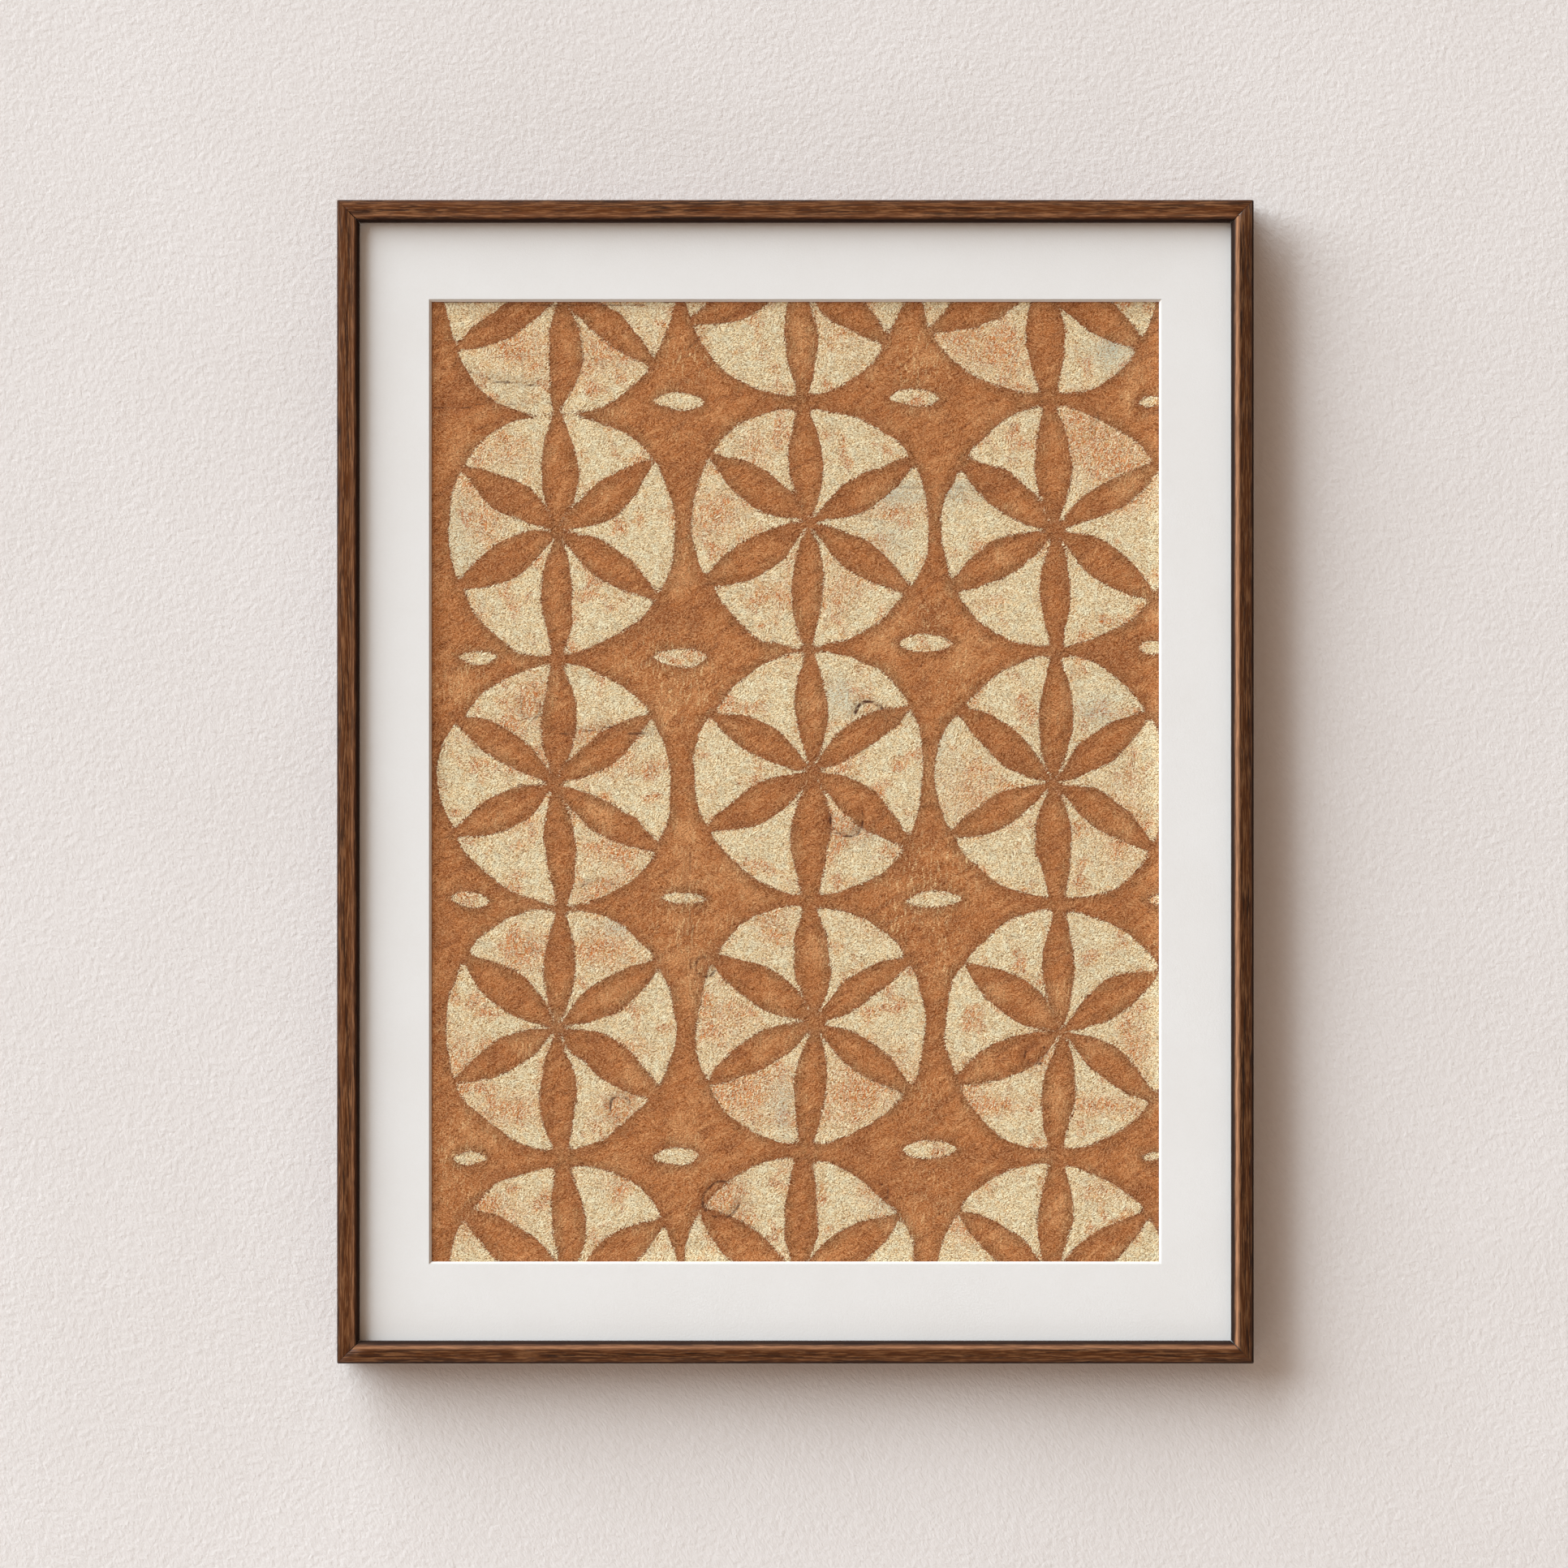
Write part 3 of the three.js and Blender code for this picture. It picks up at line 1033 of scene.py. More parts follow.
@dataclass(frozen=True)
class WalnutFinish:
    """Satin walnut moulding with fine straight grain along each rail, with painted highlights along its edges
    and lip, and painted shade on the lip and the outer edge.
    """

    name: str = "satin walnut"
    heart: tuple = srgb(99, 54, 24)
    pale: tuple = srgb(152, 103, 66)
    dark: tuple = srgb(52, 26, 10)
    red: tuple = srgb(110, 60, 30)
    # Colour of the painted highlights along the edges and the lip
    wear_and_highlight: tuple = srgb(210, 154, 116)
    # Colour of the painted shade on the lip and of the dark outer edge
    shade_and_edge_colour: tuple = srgb(30, 13, 5)
    gloss: float = 0.3
    broad_scale: tuple = (0.012, 0.16, 0.16)
    figure_scale: tuple = (0.022, 0.5, 0.5)
    pore_scale: tuple = (0.15, 1.9, 1.9)
    silk_scale: tuple = (0.06, 1.0, 1.0)
    relief: tuple = (0.0001, 0.6)

    def build(self) -> bpy.types.Material:
        """Builds the node tree, which reads the rail's own grain coordinates in mm.

        Returns:
            The material.
        """
        material, g, shader = new_material(self.name)
        grain = g.attribute("grain").outputs["Vector"]
        broad = g.noise(g.place(grain, self.broad_scale), 1.0, 2.0, 0.55, 0.6)
        figure = g.noise(g.place(grain, self.figure_scale), 1.0, 3.0, 0.6, 0.8)
        pores = g.noise(g.place(grain, self.pore_scale), 1.0, 1.0, 0.5)
        silk = g.noise(g.place(grain, self.silk_scale), 1.0, 3.0, 0.65)
        colour = g.blend(g.span(figure, 0.32, 0.56), self.dark, self.heart)
        colour = g.blend(g.times(g.span(silk, 0.47, 0.62), 0.85), colour, self.pale)
        colour = g.blend(g.span(broad, 0.55, 0.75, 0.0, 0.4), colour, self.red)
        hole = g.span(pores, 0.58, 0.7)
        colour = g.blend(g.times(hole, 0.5), colour, self.dark)
        # Where the rail has painted highlight, where it has painted shade with the dark outer edge, and its
        # tone
        rub_and_highlight = g.mark("rub_and_highlight")
        shade_and_dark_edge = g.mark("shade_and_dark_edge")
        colour = g.blend(g.mark("tone"), (0.0, 0.0, 0.0), colour)
        # Painted shade on the lip, and the dark outer edge
        colour = g.blend(g.times(shade_and_dark_edge, 0.92), colour, self.shade_and_edge_colour)
        # Painted highlight, kept off the painted shade
        bare_and_highlit = g.times(rub_and_highlight, g.span(shade_and_dark_edge, 0.0, 0.7, 1.0, 0.0))
        colour = g.blend(g.times(bare_and_highlit, g.span(silk, 0.35, 0.65, 0.5, 0.9)), colour, self.wear_and_highlight)
        g.feed(shader.inputs["Base Color"], colour)
        polish = g.span(figure, 0.3, 0.7, self.gloss + 0.1, self.gloss)
        g.feed(shader.inputs["Roughness"], g.lerp(shade_and_dark_edge, polish, 0.95))
        uneven = g.minus(g.times(silk, 0.5), hole)
        g.feed(shader.inputs["Normal"], g.bump(uneven, *self.relief))
        shader.inputs["Specular IOR Level"].default_value = 0.25
        return material


@dataclass(frozen=True)
class PaperFinish:
    """Board faced with smooth paper, or its white core where it was cut."""

    name: str
    base: tuple
    shade: tuple
    tooth: float = 0.00006
    grain: float = 0.6
    clouds: tuple = (55.0, 0.9)

    def build(self) -> bpy.types.Material:
        """Builds the node tree.

        Returns:
            The material.
        """
        material, g, shader = new_material(self.name)
        where = g.where()
        broad, fine = g.mottle(where, *self.clouds)
        tone = g.plus(g.times(broad, 0.6), g.times(fine, 0.4))
        g.feed(shader.inputs["Base Color"], g.blend(tone, self.shade, self.base))
        g.feed(shader.inputs["Normal"], g.bump(fine, self.tooth, self.grain))
        g.feed(shader.inputs["Roughness"], g.span(fine, 0.0, 1.0, 0.88, 0.96))
        shader.inputs["Specular IOR Level"].default_value = 0.25
        return material


@dataclass(frozen=True)
class PlasterFinish:
    """Finely rolled wall or floor paint. The wall is clear from behind, so that the back can be seen."""

    name: str
    base: tuple
    shade: tuple
    clear_behind: bool = False
    clouds: tuple = (160.0, 4.0)
    trowel: tuple = (-0.9, 3.8, 1.6)
    relief: tuple = (0.00055, 0.55)

    def build(self) -> bpy.types.Material:
        """Builds the node tree.

        Returns:
            The material.
        """
        material, g, shader = new_material(self.name)
        where = g.where()
        broad, fine = g.mottle(where, *self.clouds)
        tone = g.plus(g.times(broad, 0.5), g.times(fine, 0.5))
        g.feed(shader.inputs["Base Color"], g.blend(tone, self.shade, self.base))
        trowel = g.fibre(where, *self.trowel)[0]
        rough = g.plus(trowel, g.times(fine, 0.5))
        g.feed(shader.inputs["Normal"], g.bump(rough, *self.relief))
        shader.inputs["Roughness"].default_value = 0.95
        shader.inputs["Specular IOR Level"].default_value = 0.15
        if self.clear_behind:
            behind = g.node("ShaderNodeNewGeometry").outputs["Backfacing"]
            clear = g.node("ShaderNodeBsdfTransparent").outputs[0]
            mixed = g.node("ShaderNodeMixShader", {0: behind, 1: shader.outputs[0], 2: clear}).outputs[0]
            g.feed(material.node_tree.nodes["Material Output"].inputs["Surface"], mixed)
        return material


@dataclass
class TapaCloth:
    """The bark cloth: a closed thin sheet with cockle, ridges, creases and puckers in its mesh."""

    sizes: FrameSizes
    pattern: TapaPattern = field(default_factory=TapaPattern)
    thickness: float = 1.2
    reach: float = 0.9
    columns: int = 240
    rows: int = 312
    clearance: float = 0.3
    # Height of the fluffed cream, and the puckers' height and size in mm with their seeds
    fluff: float = 0.10
    puckers: tuple[tuple[float, float, int], ...] = ((0.10, 16.0, 91), (0.07, 7.0, 92))
    # Slow waves: height in mm, waves across and up the sheet, and where each starts in turns
    cockles: tuple[tuple[float, float, float, float], ...] = (
        (0.30, 1.1, 0.6, 0.10),
        (0.24, -0.7, 1.7, 0.35),
        (0.18, 2.3, 1.2, 0.72),
        (0.12, 1.6, -3.1, 0.20),
    )
    # Ridges: middle across and up, half length and half width in mm, turn in degrees, height in mm
    ridges: tuple[tuple[float, float, float, float, float, float], ...] = (
        (-194.0, 254.0, 40.0, 9.0, -9.0, 0.35),
        (-118.0, 31.0, 42.0, 10.0, 2.0, 0.30),
        (-66.0, -82.0, 38.0, 9.0, 86.0, 0.32),
        (98.0, 184.0, 34.0, 11.0, 0.0, 0.32),
        (33.0, -24.0, 14.0, 13.0, 0.0, 0.45),
        (47.0, 46.0, 12.0, 11.0, 0.0, 0.38),
        (-51.0, -268.0, 15.0, 14.0, 0.0, 0.35),
    )

    def middle_depth(self) -> float:
        """Depth of the sheet's middle plane, in mm forward of the back plane."""
        return Layer.MAT_FRONT.back() - self.clearance - self.reach - self.thickness / 2

    def lift(self, x: np.ndarray, z: np.ndarray) -> np.ndarray:
        """How far the sheet stands forward of its middle plane.

        Slow sine waves, plus for each ridge its height times the square of one minus the squared distance
        in half sizes, as in the solid.

        Args:
            x: Place across, in mm.
            z: Place up, in mm.

        Returns:
            The lift in mm.
        """
        lift = np.zeros(x.shape)
        for height, across, down, start in self.cockles:
            turns = across * x / self.sizes.cloth_width + down * z / self.sizes.cloth_height + start
            lift += height * np.sin(2 * math.pi * turns)
        for place_x, place_z, long, wide, turn, height in self.ridges:
            angle = math.radians(turn)
            along = (x - place_x) * math.cos(angle) + (z - place_z) * math.sin(angle)
            over = (z - place_z) * math.cos(angle) - (x - place_x) * math.sin(angle)
            away = np.minimum(1.0, np.hypot(along / long, over / wide))
            lift += height * np.square(1 - away * away)
        return np.clip(lift, -self.reach, self.reach)

    def relief(self, x: np.ndarray, z: np.ndarray, motif: np.ndarray, valley: np.ndarray) -> np.ndarray:
        """Fine unevenness of the face: puckers, fluffed cream, and the valleys of creases.

        Args:
            x: Place across, in mm.
            z: Place up, in mm.
            motif: Signed distance to the cream.
            valley: Depth of the creases.

        Returns:
            Height over the slow shape, in mm.
        """
        puckers = sum(height * drift(x, z, size, seed) for height, size, seed in self.puckers)
        return puckers + self.fluff * smooth_step(motif, -1.5, 1.5) - valley

    def build(self) -> bpy.types.Object:
        """Builds the sheet: a fine front grid, a back grid of half the density and a rim between them.

        Returns:
            The piece.
        """
        half_width, half_height = self.sizes.cloth_width / 2, self.sizes.cloth_height / 2
        x, z = np.meshgrid(
            np.linspace(-half_width, half_width, self.columns + 1),
            np.linspace(-half_height, half_height, self.rows + 1),
            indexing="ij",
        )
        motif = self.pattern.motif(x, z)
        near, dark, valley = self.pattern.lines(x, z)
        to_edge = np.minimum(half_width - np.abs(x), half_height - np.abs(z))
        inside = smooth_step(to_edge, self.sizes.cloth_margin - 2, self.sizes.cloth_margin + 8)
        lift = self.lift(x, z) * inside + self.reach * 0.9 * (1 - inside)
        face = lift + self.relief(x, z, motif, valley) * inside
        front = self.middle_depth() + self.thickness / 2 + np.minimum(face, self.reach + 0.5 * inside)
        back = self.middle_depth() - self.thickness / 2 + lift[::2, ::2]
        lower_z = z + self.sizes.centre_z
        points = np.concatenate([
            np.stack([x, -front, lower_z], axis=-1).reshape(-1, 3),
            np.stack([x[::2, ::2], -back, lower_z[::2, ::2]], axis=-1).reshape(-1, 3),
        ])
        obj = make_object("tapa_sheet", points, self.faces(), smooth_angle=50.0)
        pattern, far = self.pattern, self.pattern.far
        marks = {
            "motif": (np.clip(motif, -far, far), -far),
            "stain": (pattern.sum_of(pattern.stains, x, z), 0.0),
            "scuff": (pattern.sum_of(pattern.scuffs, x, z), 0.0),
            "grey": (pattern.sum_of(pattern.greys, x, z), 0.0),
            "line_near": (near, pattern.no_line),
            "line_dark": (np.clip(dark, 0.0, 1.0), 0.0),
        }
        unseen = np.ones(len(points) - x.size)
        for name, (values, on_the_back) in marks.items():
            store(obj, name, np.concatenate([values.ravel(), unseen * on_the_back]))
        obj.data.materials.append(TapaFinish().build())
        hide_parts("bark_cloth")
        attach(obj, BODY)
        return obj

    def faces(self) -> list[list[int]]:
        """Faces of the closed sheet: front quads, back quads turned over, and a five-sided rim.

        Each rim face joins two front cells' edges to one back cell's edge.

        Returns:
            Vertex numbers of each face.
        """
        columns, rows = self.columns, self.rows
        front = grid_faces(columns, rows)
        start = (columns + 1) * (rows + 1)
        rear = grid_faces(columns // 2, rows // 2, start)[:, ::-1]
        front_number = np.arange(start).reshape(columns + 1, rows + 1)
        rear_count = (columns // 2 + 1) * (rows // 2 + 1)
        rear_number = start + np.arange(rear_count).reshape(columns // 2 + 1, rows // 2 + 1)
        rims = []
        for turn in range(4):
            fine, coarse = np.rot90(front_number, turn)[0], np.rot90(rear_number, turn)[0]
            rim = [fine[:-2:2], fine[1:-1:2], fine[2::2], coarse[1:], coarse[:-1]]
            rims.append(np.stack(rim, axis=1)[:, ::-1])
        return front.tolist() + rear.tolist() + np.concatenate(rims).tolist()


@dataclass
class MouldedRails:
    """The four rails: a section carried along each side, with eased mitres and grain along the rail."""

    sizes: FrameSizes
    rail_width: float = 13.7
    back_strip: float = 8.4
    outer_round: float = 1.4
    lip_round: float = 3.5
    sight_edge: float = 0.2
    clearance: float = 0.3
    ease: float = 0.25
    grain_step: float = 37.0
    arc_points: int = 9
    stations: int = 48

    def section(self) -> tuple[np.ndarray, np.ndarray]:
        """The rail's closed section, from the outer back edge round over the front to the rebate.

        Straight stretches carry extra points, and the outer edge and the inner lip are quarter circles.

        Returns:
            Distance inward from the outer edge and depth forward of the back, each in mm.
        """
        front = Layer.RAIL_FRONT.depth()
        lip_back = Layer.MAT_FRONT.depth() + self.clearance
        quarter = np.linspace(0.0, math.pi / 2, self.arc_points)
        outer, lip, edge = self.outer_round, self.lip_round, self.sight_edge
        inward = np.concatenate([
            np.zeros(4),
            outer - outer * np.cos(quarter),
            np.linspace(outer, self.rail_width - lip, 6)[1:-1],
            self.rail_width - lip + lip * np.sin(quarter),
            [self.rail_width, self.rail_width - edge, self.back_strip, self.back_strip],
        ])
        forward = np.concatenate([
            np.linspace(0.0, front - outer, 5)[:-1],
            front - outer + outer * np.sin(quarter),
            np.full(4, front),
            front - lip + lip * np.cos(quarter),
            [lip_back + edge, lip_back, lip_back, 0.0],
        ])
        return inward, forward

    def build_one(self, rail: Rail, material: bpy.types.Material) -> bpy.types.Object:
        """Builds one rail.

        Each station along the rail holds the section. The reach of a point at either end is half the side
        less its distance inward, which cuts the mitre, and the last station is drawn in a little.

        Args:
            rail: Which rail.
            material: Its finish.

        Returns:
            The piece.
        """
        inward, forward = self.section()
        count = len(inward)
        length, height = self.sizes.width, self.sizes.height
        if rail.quarter_turns % 2:
            length, height = height, length
        share = np.linspace(-1.0, 1.0, self.stations)
        reach = length / 2 - inward - self.clearance / 2 * math.sqrt(2)
        along = share[:, None] * (reach - self.ease)[None, :]
        along = np.concatenate([-reach[None], along, reach[None]])
        middle_in, middle_fore = self.rail_width / 2, forward.mean()
        drawn_in = inward + np.sign(middle_in - inward) * self.ease * 0.5
        drawn_fore = forward + np.sign(middle_fore - forward) * self.ease * 0.5
        deep = np.tile(inward, (len(along), 1))
        fore = np.tile(forward, (len(along), 1))
        deep[[0, -1]], fore[[0, -1]] = drawn_in, drawn_fore
        out = height / 2 - deep
        turn = rail.quarter_turns * math.pi / 2
        x = along * math.cos(turn) + out * math.sin(turn)
        z = out * math.cos(turn) - along * math.sin(turn) + self.sizes.centre_z
        points = np.stack([x, -fore, z], axis=-1).reshape(-1, 3)
        obj = make_object(f"{rail.node}_moulding", points, self.faces(len(along), count), smooth_angle=40.0)
        grain = [along + rail.grain_offset, deep + rail.quarter_turns * self.grain_step, fore]
        store(obj, "grain", np.stack(grain, axis=-1).reshape(-1, 3))
        for name, values in self.stain(rail, deep, fore).items():
            store(obj, name, values.ravel())
        obj.data.materials.append(material)
        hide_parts(rail.node)
        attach(obj, BODY)
        return obj

    def stain(self, rail: Rail, deep: np.ndarray, fore: np.ndarray) -> dict[str, np.ndarray]:
        """Where the painted highlight lies, and where painted shade lies on the lip and darkens the outer
        edge.

        A rail whose lip is in shade gets a little painted highlight just inside its outer edge and on the
        face just before its lip, and painted shade over most of the lip. A rail whose lip catches the light
        gets its painted highlight where the lip begins, and painted shade only on the lip's last part by the
        mat. The outer edge is dark on every rail, and darker with painted shade where the lip catches the
        light. Nothing is highlighted or shaded far behind the face.

        Args:
            rail: Which rail.
            deep: Distance inward from the outer edge, in mm.
            fore: Depth forward of the back, in mm.

        Returns:
            By the names that the finish reads, numbers from 0 to 1.
        """
        lip, lip_lit, lip_shaded = self.rail_width - self.lip_round, rail.lip_light, 1 - rail.lip_light
        # Painted highlights just inside the outer edge and on the face before the lip, where the lip is in
        # shade
        outer = 0.25 * lip_shaded * hill(deep - 2.3, 0.8)
        bead = 0.65 * lip_shaded * hill(deep - lip + 0.7, 0.7)
        # Painted highlight where the lip begins, where the lip catches the light
        wear_and_highlight = lip_lit * hill(deep - lip - 0.2, 0.9)
        in_front = smooth_step(fore, 12.0, 16.0)
        # Painted shade over the lip, beginning further in where the lip catches the light
        shade_and_dark_edge = smooth_step(deep, lip + 0.2 + 1.1 * lip_lit, lip + 2.6 - 0.2 * lip_lit) * in_front
        # Dark outer edge, deepened by painted shade where the lip catches the light
        edge = (0.65 + 0.35 * lip_lit) * smooth_step(deep, 1.8, 0.7) * smooth_step(fore, 22.6, 23.6)
        return {
            "rub_and_highlight": np.clip(outer + bead + wear_and_highlight, 0.0, 1.0) * in_front,
            "shade_and_dark_edge": np.clip(shade_and_dark_edge + edge, 0.0, 1.0),
            "tone": np.full(deep.shape, rail.tone),
        }

    @staticmethod
    def faces(stations: int, count: int) -> list[list[int]]:
        """Quads round and along the rail, and a face at each mitre.

        Args:
            stations: Sections along the rail.
            count: Points round the section.

        Returns:
            Vertex numbers of each face.
        """
        first = np.arange(count)[::-1].tolist()
        last = ((stations - 1) * count + np.arange(count)).tolist()
        return tube_faces(stations, count, closed=False).tolist() + [first, last]

    def build(self) -> list[bpy.types.Object]:
        """Builds all four rails from one board's finish."""
        material = WalnutFinish().build()
        return [self.build_one(rail, material) for rail in RAILS]


@dataclass
class WindowMat:
    """The window mat: a profile carried round the window, its cut edge showing the white core."""

    sizes: FrameSizes
    steps: int = 24
    arris: float = 0.12
    core: float = 1.05
    # Each paper's name, colour and darker colour, then which paper each strip of the profile shows
    papers: tuple[tuple[str, tuple, tuple], ...] = (
        ("mat face", srgb(232, 231, 229), srgb(228, 226, 223)),
        ("mat core", srgb(230, 224, 218), srgb(226, 219, 212)),
        # Painted shade: a greyer strip over the arris and the upper bevel, so that the white core shows as a
        # narrow line below it
        ("mat bevel painted shade", srgb(206, 202, 196), srgb(200, 196, 190)),
    )
    # Strips 4 and 5, the arris and the upper bevel, show the painted shade; strip 6 shows the core
    paper_of_strip: tuple[int, ...] = (0, 0, 0, 0, 2, 2, 1, 0)

    def build(self) -> bpy.types.Object:
        """Builds the mat.

        The profile runs from the outer back edge over the face to the window's bevel and back, and is
        carried round four sides whose corners it meets square.

        Returns:
            The piece.
        """
        front, back = Layer.MAT_FRONT.depth(), Layer.MAT_FRONT.back()
        thick = front - back
        share = np.array([0.0, 0.0, 0.35, 0.7, 1.0, 1.0, 1.0, 1.0])
        spread = np.array([0.0, 0.0, 0.0, 0.0, thick + self.arris, thick - self.arris, self.core, 0.0])
        fore = np.array([back, front, front, front, front, front - self.arris, back + self.core, back])
        half_out = np.array([self.sizes.mat_width, self.sizes.mat_height]) / 2
        half_in = np.array([self.sizes.window_width, self.sizes.window_height]) / 2
        half = half_out[None] * (1 - share[:, None]) + (half_in[None] + spread[:, None]) * share[:, None]
        corners = np.array([[-1, -1], [1, -1], [1, 1], [-1, 1]], float)
        walk = np.linspace(0.0, 1.0, self.steps, endpoint=False)
        path = np.concatenate([
            corners[k] + walk[:, None] * (corners[(k + 1) % 4] - corners[k]) for k in range(4)
        ])
        x = path[:, 0][:, None] * half[:, 0][None]
        z = path[:, 1][:, None] * half[:, 1][None] + self.sizes.centre_z
        y = np.broadcast_to(-fore, x.shape)
        points = np.stack([x, y, z], axis=-1).reshape(-1, 3)
        quads = tube_faces(len(path), len(fore), closed=True)[:, ::-1]
        obj = make_object("window_mat", points, quads.tolist())
        for name, base, shade in self.papers:
            obj.data.materials.append(PaperFinish(name, base, shade).build())
        obj.data.polygons.foreach_set("material_index", np.tile(self.paper_of_strip, len(path)))
        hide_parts("mat_board")
        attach(obj, BODY)
        return obj


@dataclass
class BackingBoard:
    """The board that closes the back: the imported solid, with its own finish."""

    paper: str = "grey-brown backing paper"
    base: tuple = srgb(176, 152, 122)
    shade: tuple = srgb(160, 136, 106)
    tooth: float = 0.00012
    grain: float = 0.8

    def build(self) -> bpy.types.Object:
        """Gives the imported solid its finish.

        Returns:
            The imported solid's object.
        """
        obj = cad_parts["backing_board"]
        material = PaperFinish(self.paper, self.base, self.shade, self.tooth, self.grain).build()
        for slot in obj.material_slots:
            slot.material = material
        return obj


@dataclass
class Studio:
    """Wall, floor, light and camera."""

    sizes: FrameSizes
    picture_pixels: int = 1932
    centre_pixel: tuple[float, float] = (980.0, 963.2)
    mm_per_pixel: float = 0.508
    camera_distance: float = 3000.0
    sensor: float = 36.0
    wall_standoff: float = 3.0
    wall_half: float = 2600.0
    wall_overlap: float = 2.0
    paint: tuple[tuple, tuple] = (srgb(230, 225, 222), srgb(223, 217, 213))
    floor_drop: float = 2200.0
    floor_depth: float = 1500.0
    key_direction: tuple[float, float, float] = (-2.0, -1.0, 2.05)
    key_distance: float = 40.0
    key_size: tuple[float, float] = (28.0, 56.0)
    key_power: float = 52000.0
    key_colour: tuple[float, float, float] = (0.8, 0.9, 0.97)
    fill_strength: float = 0.36
    fill_colour: tuple[float, float, float] = (1.0, 0.7, 0.5)
    fill_behind_camera: float = 0.9
    rear_power: float = 60.0
    rear_place: tuple[float, float, float] = (0.9, 2.2, 0.8)
    rear_size: tuple[float, float] = (1.6, 1.6)
    rear_colour: tuple[float, float, float] = (1.0, 0.98, 0.95)
    backdrop: tuple[float, float, float] = srgb(226, 222, 216)

    @staticmethod
    def plane(name: str, points: np.ndarray, faces: list[list[int]], finish: PlasterFinish) -> None:
        """Makes a flat stage surface.

        Args:
            name: Its name.
            points: Its corners in mm.
            faces: Corner numbers of each face.
            finish: Its finish.
        """
        obj = make_object(name, points, faces)
        obj.data.materials.append(finish.build())
        obj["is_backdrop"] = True

    def build_surfaces(self) -> None:
        """Makes the wall just behind the frame and the floor below it.

        The wall is open just where the frame covers it, so that light reaches the frame's back. It is four
        faces between an outer and an inner rectangle.
        """
        half, away = self.wall_half, self.wall_standoff
        floor_z = self.sizes.centre_z - self.sizes.height / 2 - self.floor_drop
        low = self.sizes.centre_z - self.sizes.height / 2 + self.wall_overlap
        high = self.sizes.centre_z + self.sizes.height / 2 - self.wall_overlap
        side = self.sizes.width / 2 - self.wall_overlap
        outer = [[-half, away, floor_z], [half, away, floor_z], [half, away, half], [-half, away, half]]
        inner = [[-side, away, low], [side, away, low], [side, away, high], [-side, away, high]]
        ring = [[k, (k + 1) % 4, 4 + (k + 1) % 4, 4 + k] for k in range(4)]
        plaster = PlasterFinish("wall plaster", *self.paint, clear_behind=True)
        self.plane("wall", np.array(outer + inner), ring, plaster)
        deep = self.floor_depth
        floor = [[x, y, floor_z] for x, y in ((-half, -deep), (half, -deep), (half, deep), (-half, deep))]
        self.plane("floor", np.array(floor), [[0, 1, 2, 3]], PlasterFinish("floor", *self.paint))

    def lamp(self, name: str, place: np.ndarray, size: tuple, power: float, colour: tuple) -> None:
        """Makes a rectangular soft light that faces the frame.

        Args:
            name: Its name.
            place: Where it stands, in metres.
            size: Its width and height, in metres.
            power: Its power, in watts.
            colour: Its colour.
        """
        data = bpy.data.lights.new(name, "AREA")
        data.shape = "RECTANGLE"
        data.size, data.size_y = size
        data.energy, data.color = power, colour
        lamp = link(name, data)
        towards = np.array([0.0, 0.0, self.sizes.centre_z * MM]) - place
        lamp.location = place
        lamp.rotation_mode = "QUATERNION"
        lamp.rotation_quaternion = Vector(towards).to_track_quat("-Z", "Y")
        lamp.visible_camera = False

    def build_light(self) -> None:
        """Makes the soft key from the upper left, a lamp for the back and a warm even fill."""
        centre = np.array([0.0, 0.0, self.sizes.centre_z * MM])
        way = np.array(self.key_direction) / np.linalg.norm(self.key_direction)
        self.lamp("key", centre + way * self.key_distance, self.key_size, self.key_power, self.key_colour)
        rear = centre + np.array(self.rear_place)
        self.lamp("rear", rear, self.rear_size, self.rear_power, self.rear_colour)
        world = bpy.data.worlds.new("studio")
        bpy.context.scene.world = world
        world.use_nodes = True
        graph = Graph(world.node_tree)
        back = world.node_tree.nodes["Background"]
        back.inputs["Strength"].default_value = 1.0
        seen = graph.node("ShaderNodeLightPath").outputs["Is Camera Ray"]
        way = graph.node("ShaderNodeTexCoord").outputs["Generated"]
        depth = graph.node("ShaderNodeSeparateXYZ", {0: way}).outputs[1]
        fill = tuple(channel * self.fill_strength for channel in self.fill_colour)
        dim = tuple(channel * self.fill_behind_camera for channel in fill)
        sky = graph.blend(graph.span(depth, -0.97, -0.8, 1.0, 0.0), fill, dim)
        graph.feed(back.inputs["Color"], graph.blend(seen, sky, self.backdrop))

    def build_camera(self) -> None:
        """Makes the long-lens camera square to the cloth, placed so that the frame lies as in the picture."""
        data = bpy.data.cameras.new("camera")
        data.sensor_width = self.sensor
        width = self.picture_pixels * self.mm_per_pixel
        data.lens = self.sensor * self.camera_distance / width
        camera = link("camera", data)
        middle = self.picture_pixels / 2
        right = (self.centre_pixel[0] - middle) * self.mm_per_pixel
        up = (middle - self.centre_pixel[1]) * self.mm_per_pixel
        away = Layer.RAIL_FRONT.depth() + self.camera_distance
        camera.location = (-right * MM, -away * MM, (self.sizes.centre_z - up) * MM)
        camera.rotation_euler = (math.pi / 2, 0.0, 0.0)
        bpy.context.scene.camera = camera

    def build(self) -> None:
        """Makes the whole stage: camera, wall, floor and lights."""
        self.build_camera()
        self.build_surfaces()
        self.build_light()
        bpy.context.scene.view_settings.view_transform = "Standard"


def report(piece: bpy.types.Object) -> None:
    """Logs a finished piece's name, faces and size."""
    faces = len(piece.data.polygons)
    log.info("%s: %d faces, %s mm", piece.name, faces, [round(side / MM, 1) for side in piece.dimensions])


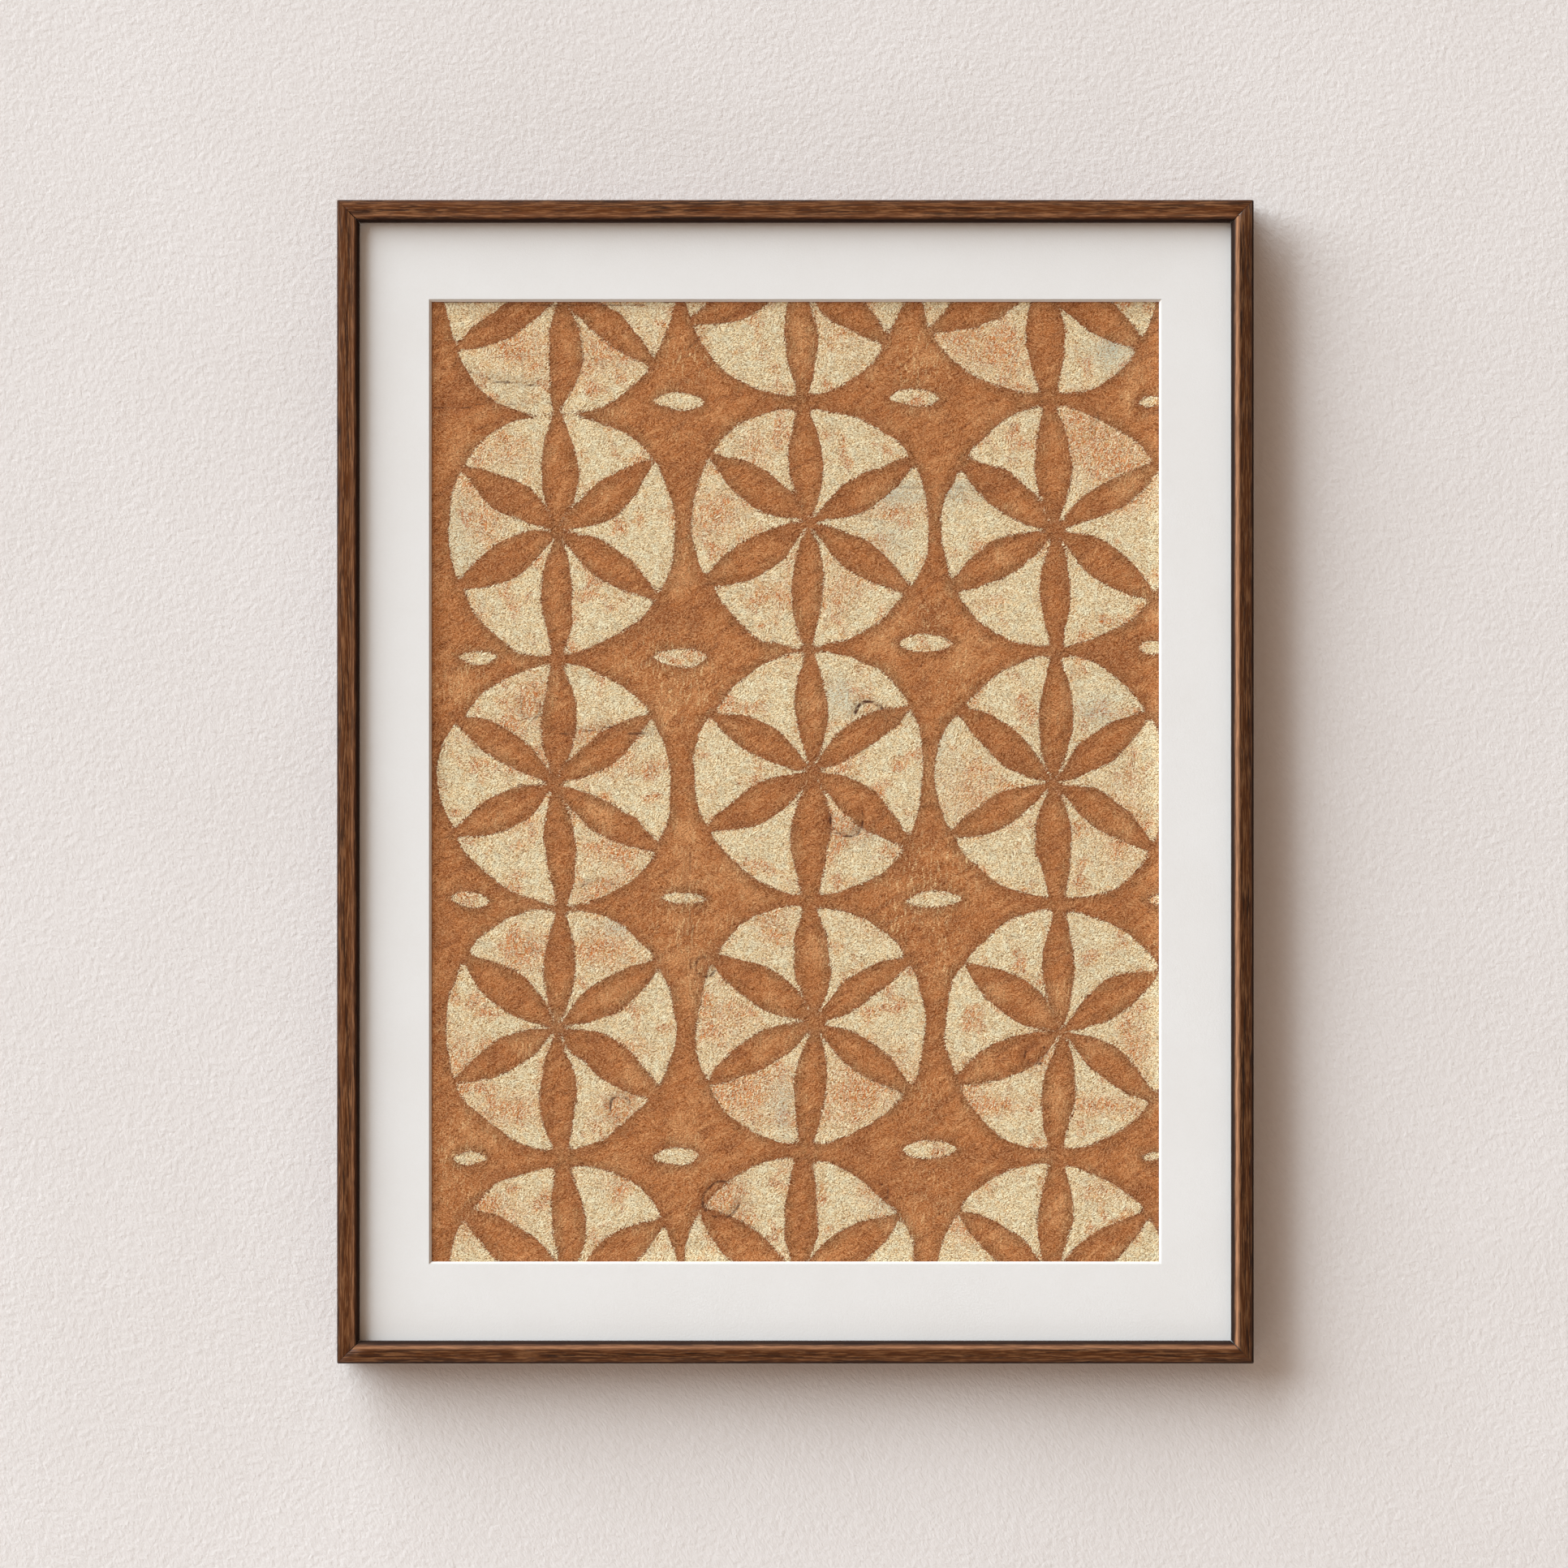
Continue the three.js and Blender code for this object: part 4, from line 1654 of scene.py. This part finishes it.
def main() -> None:
    """Builds the stage, the rails, the mat, the cloth and the backing, and logs each piece's size."""
    logging.basicConfig(level=logging.INFO, format="%(name)s %(message)s", stream=sys.stdout)
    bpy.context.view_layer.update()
    sizes = FrameSizes.from_frame()
    Studio(sizes).build()
    for rail in MouldedRails(sizes).build():
        report(rail)
    report(WindowMat(sizes).build())
    report(TapaCloth(sizes).build())
    report(BackingBoard().build())
    bpy.context.view_layer.update()
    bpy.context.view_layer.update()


if __name__ == "__main__":
    main()
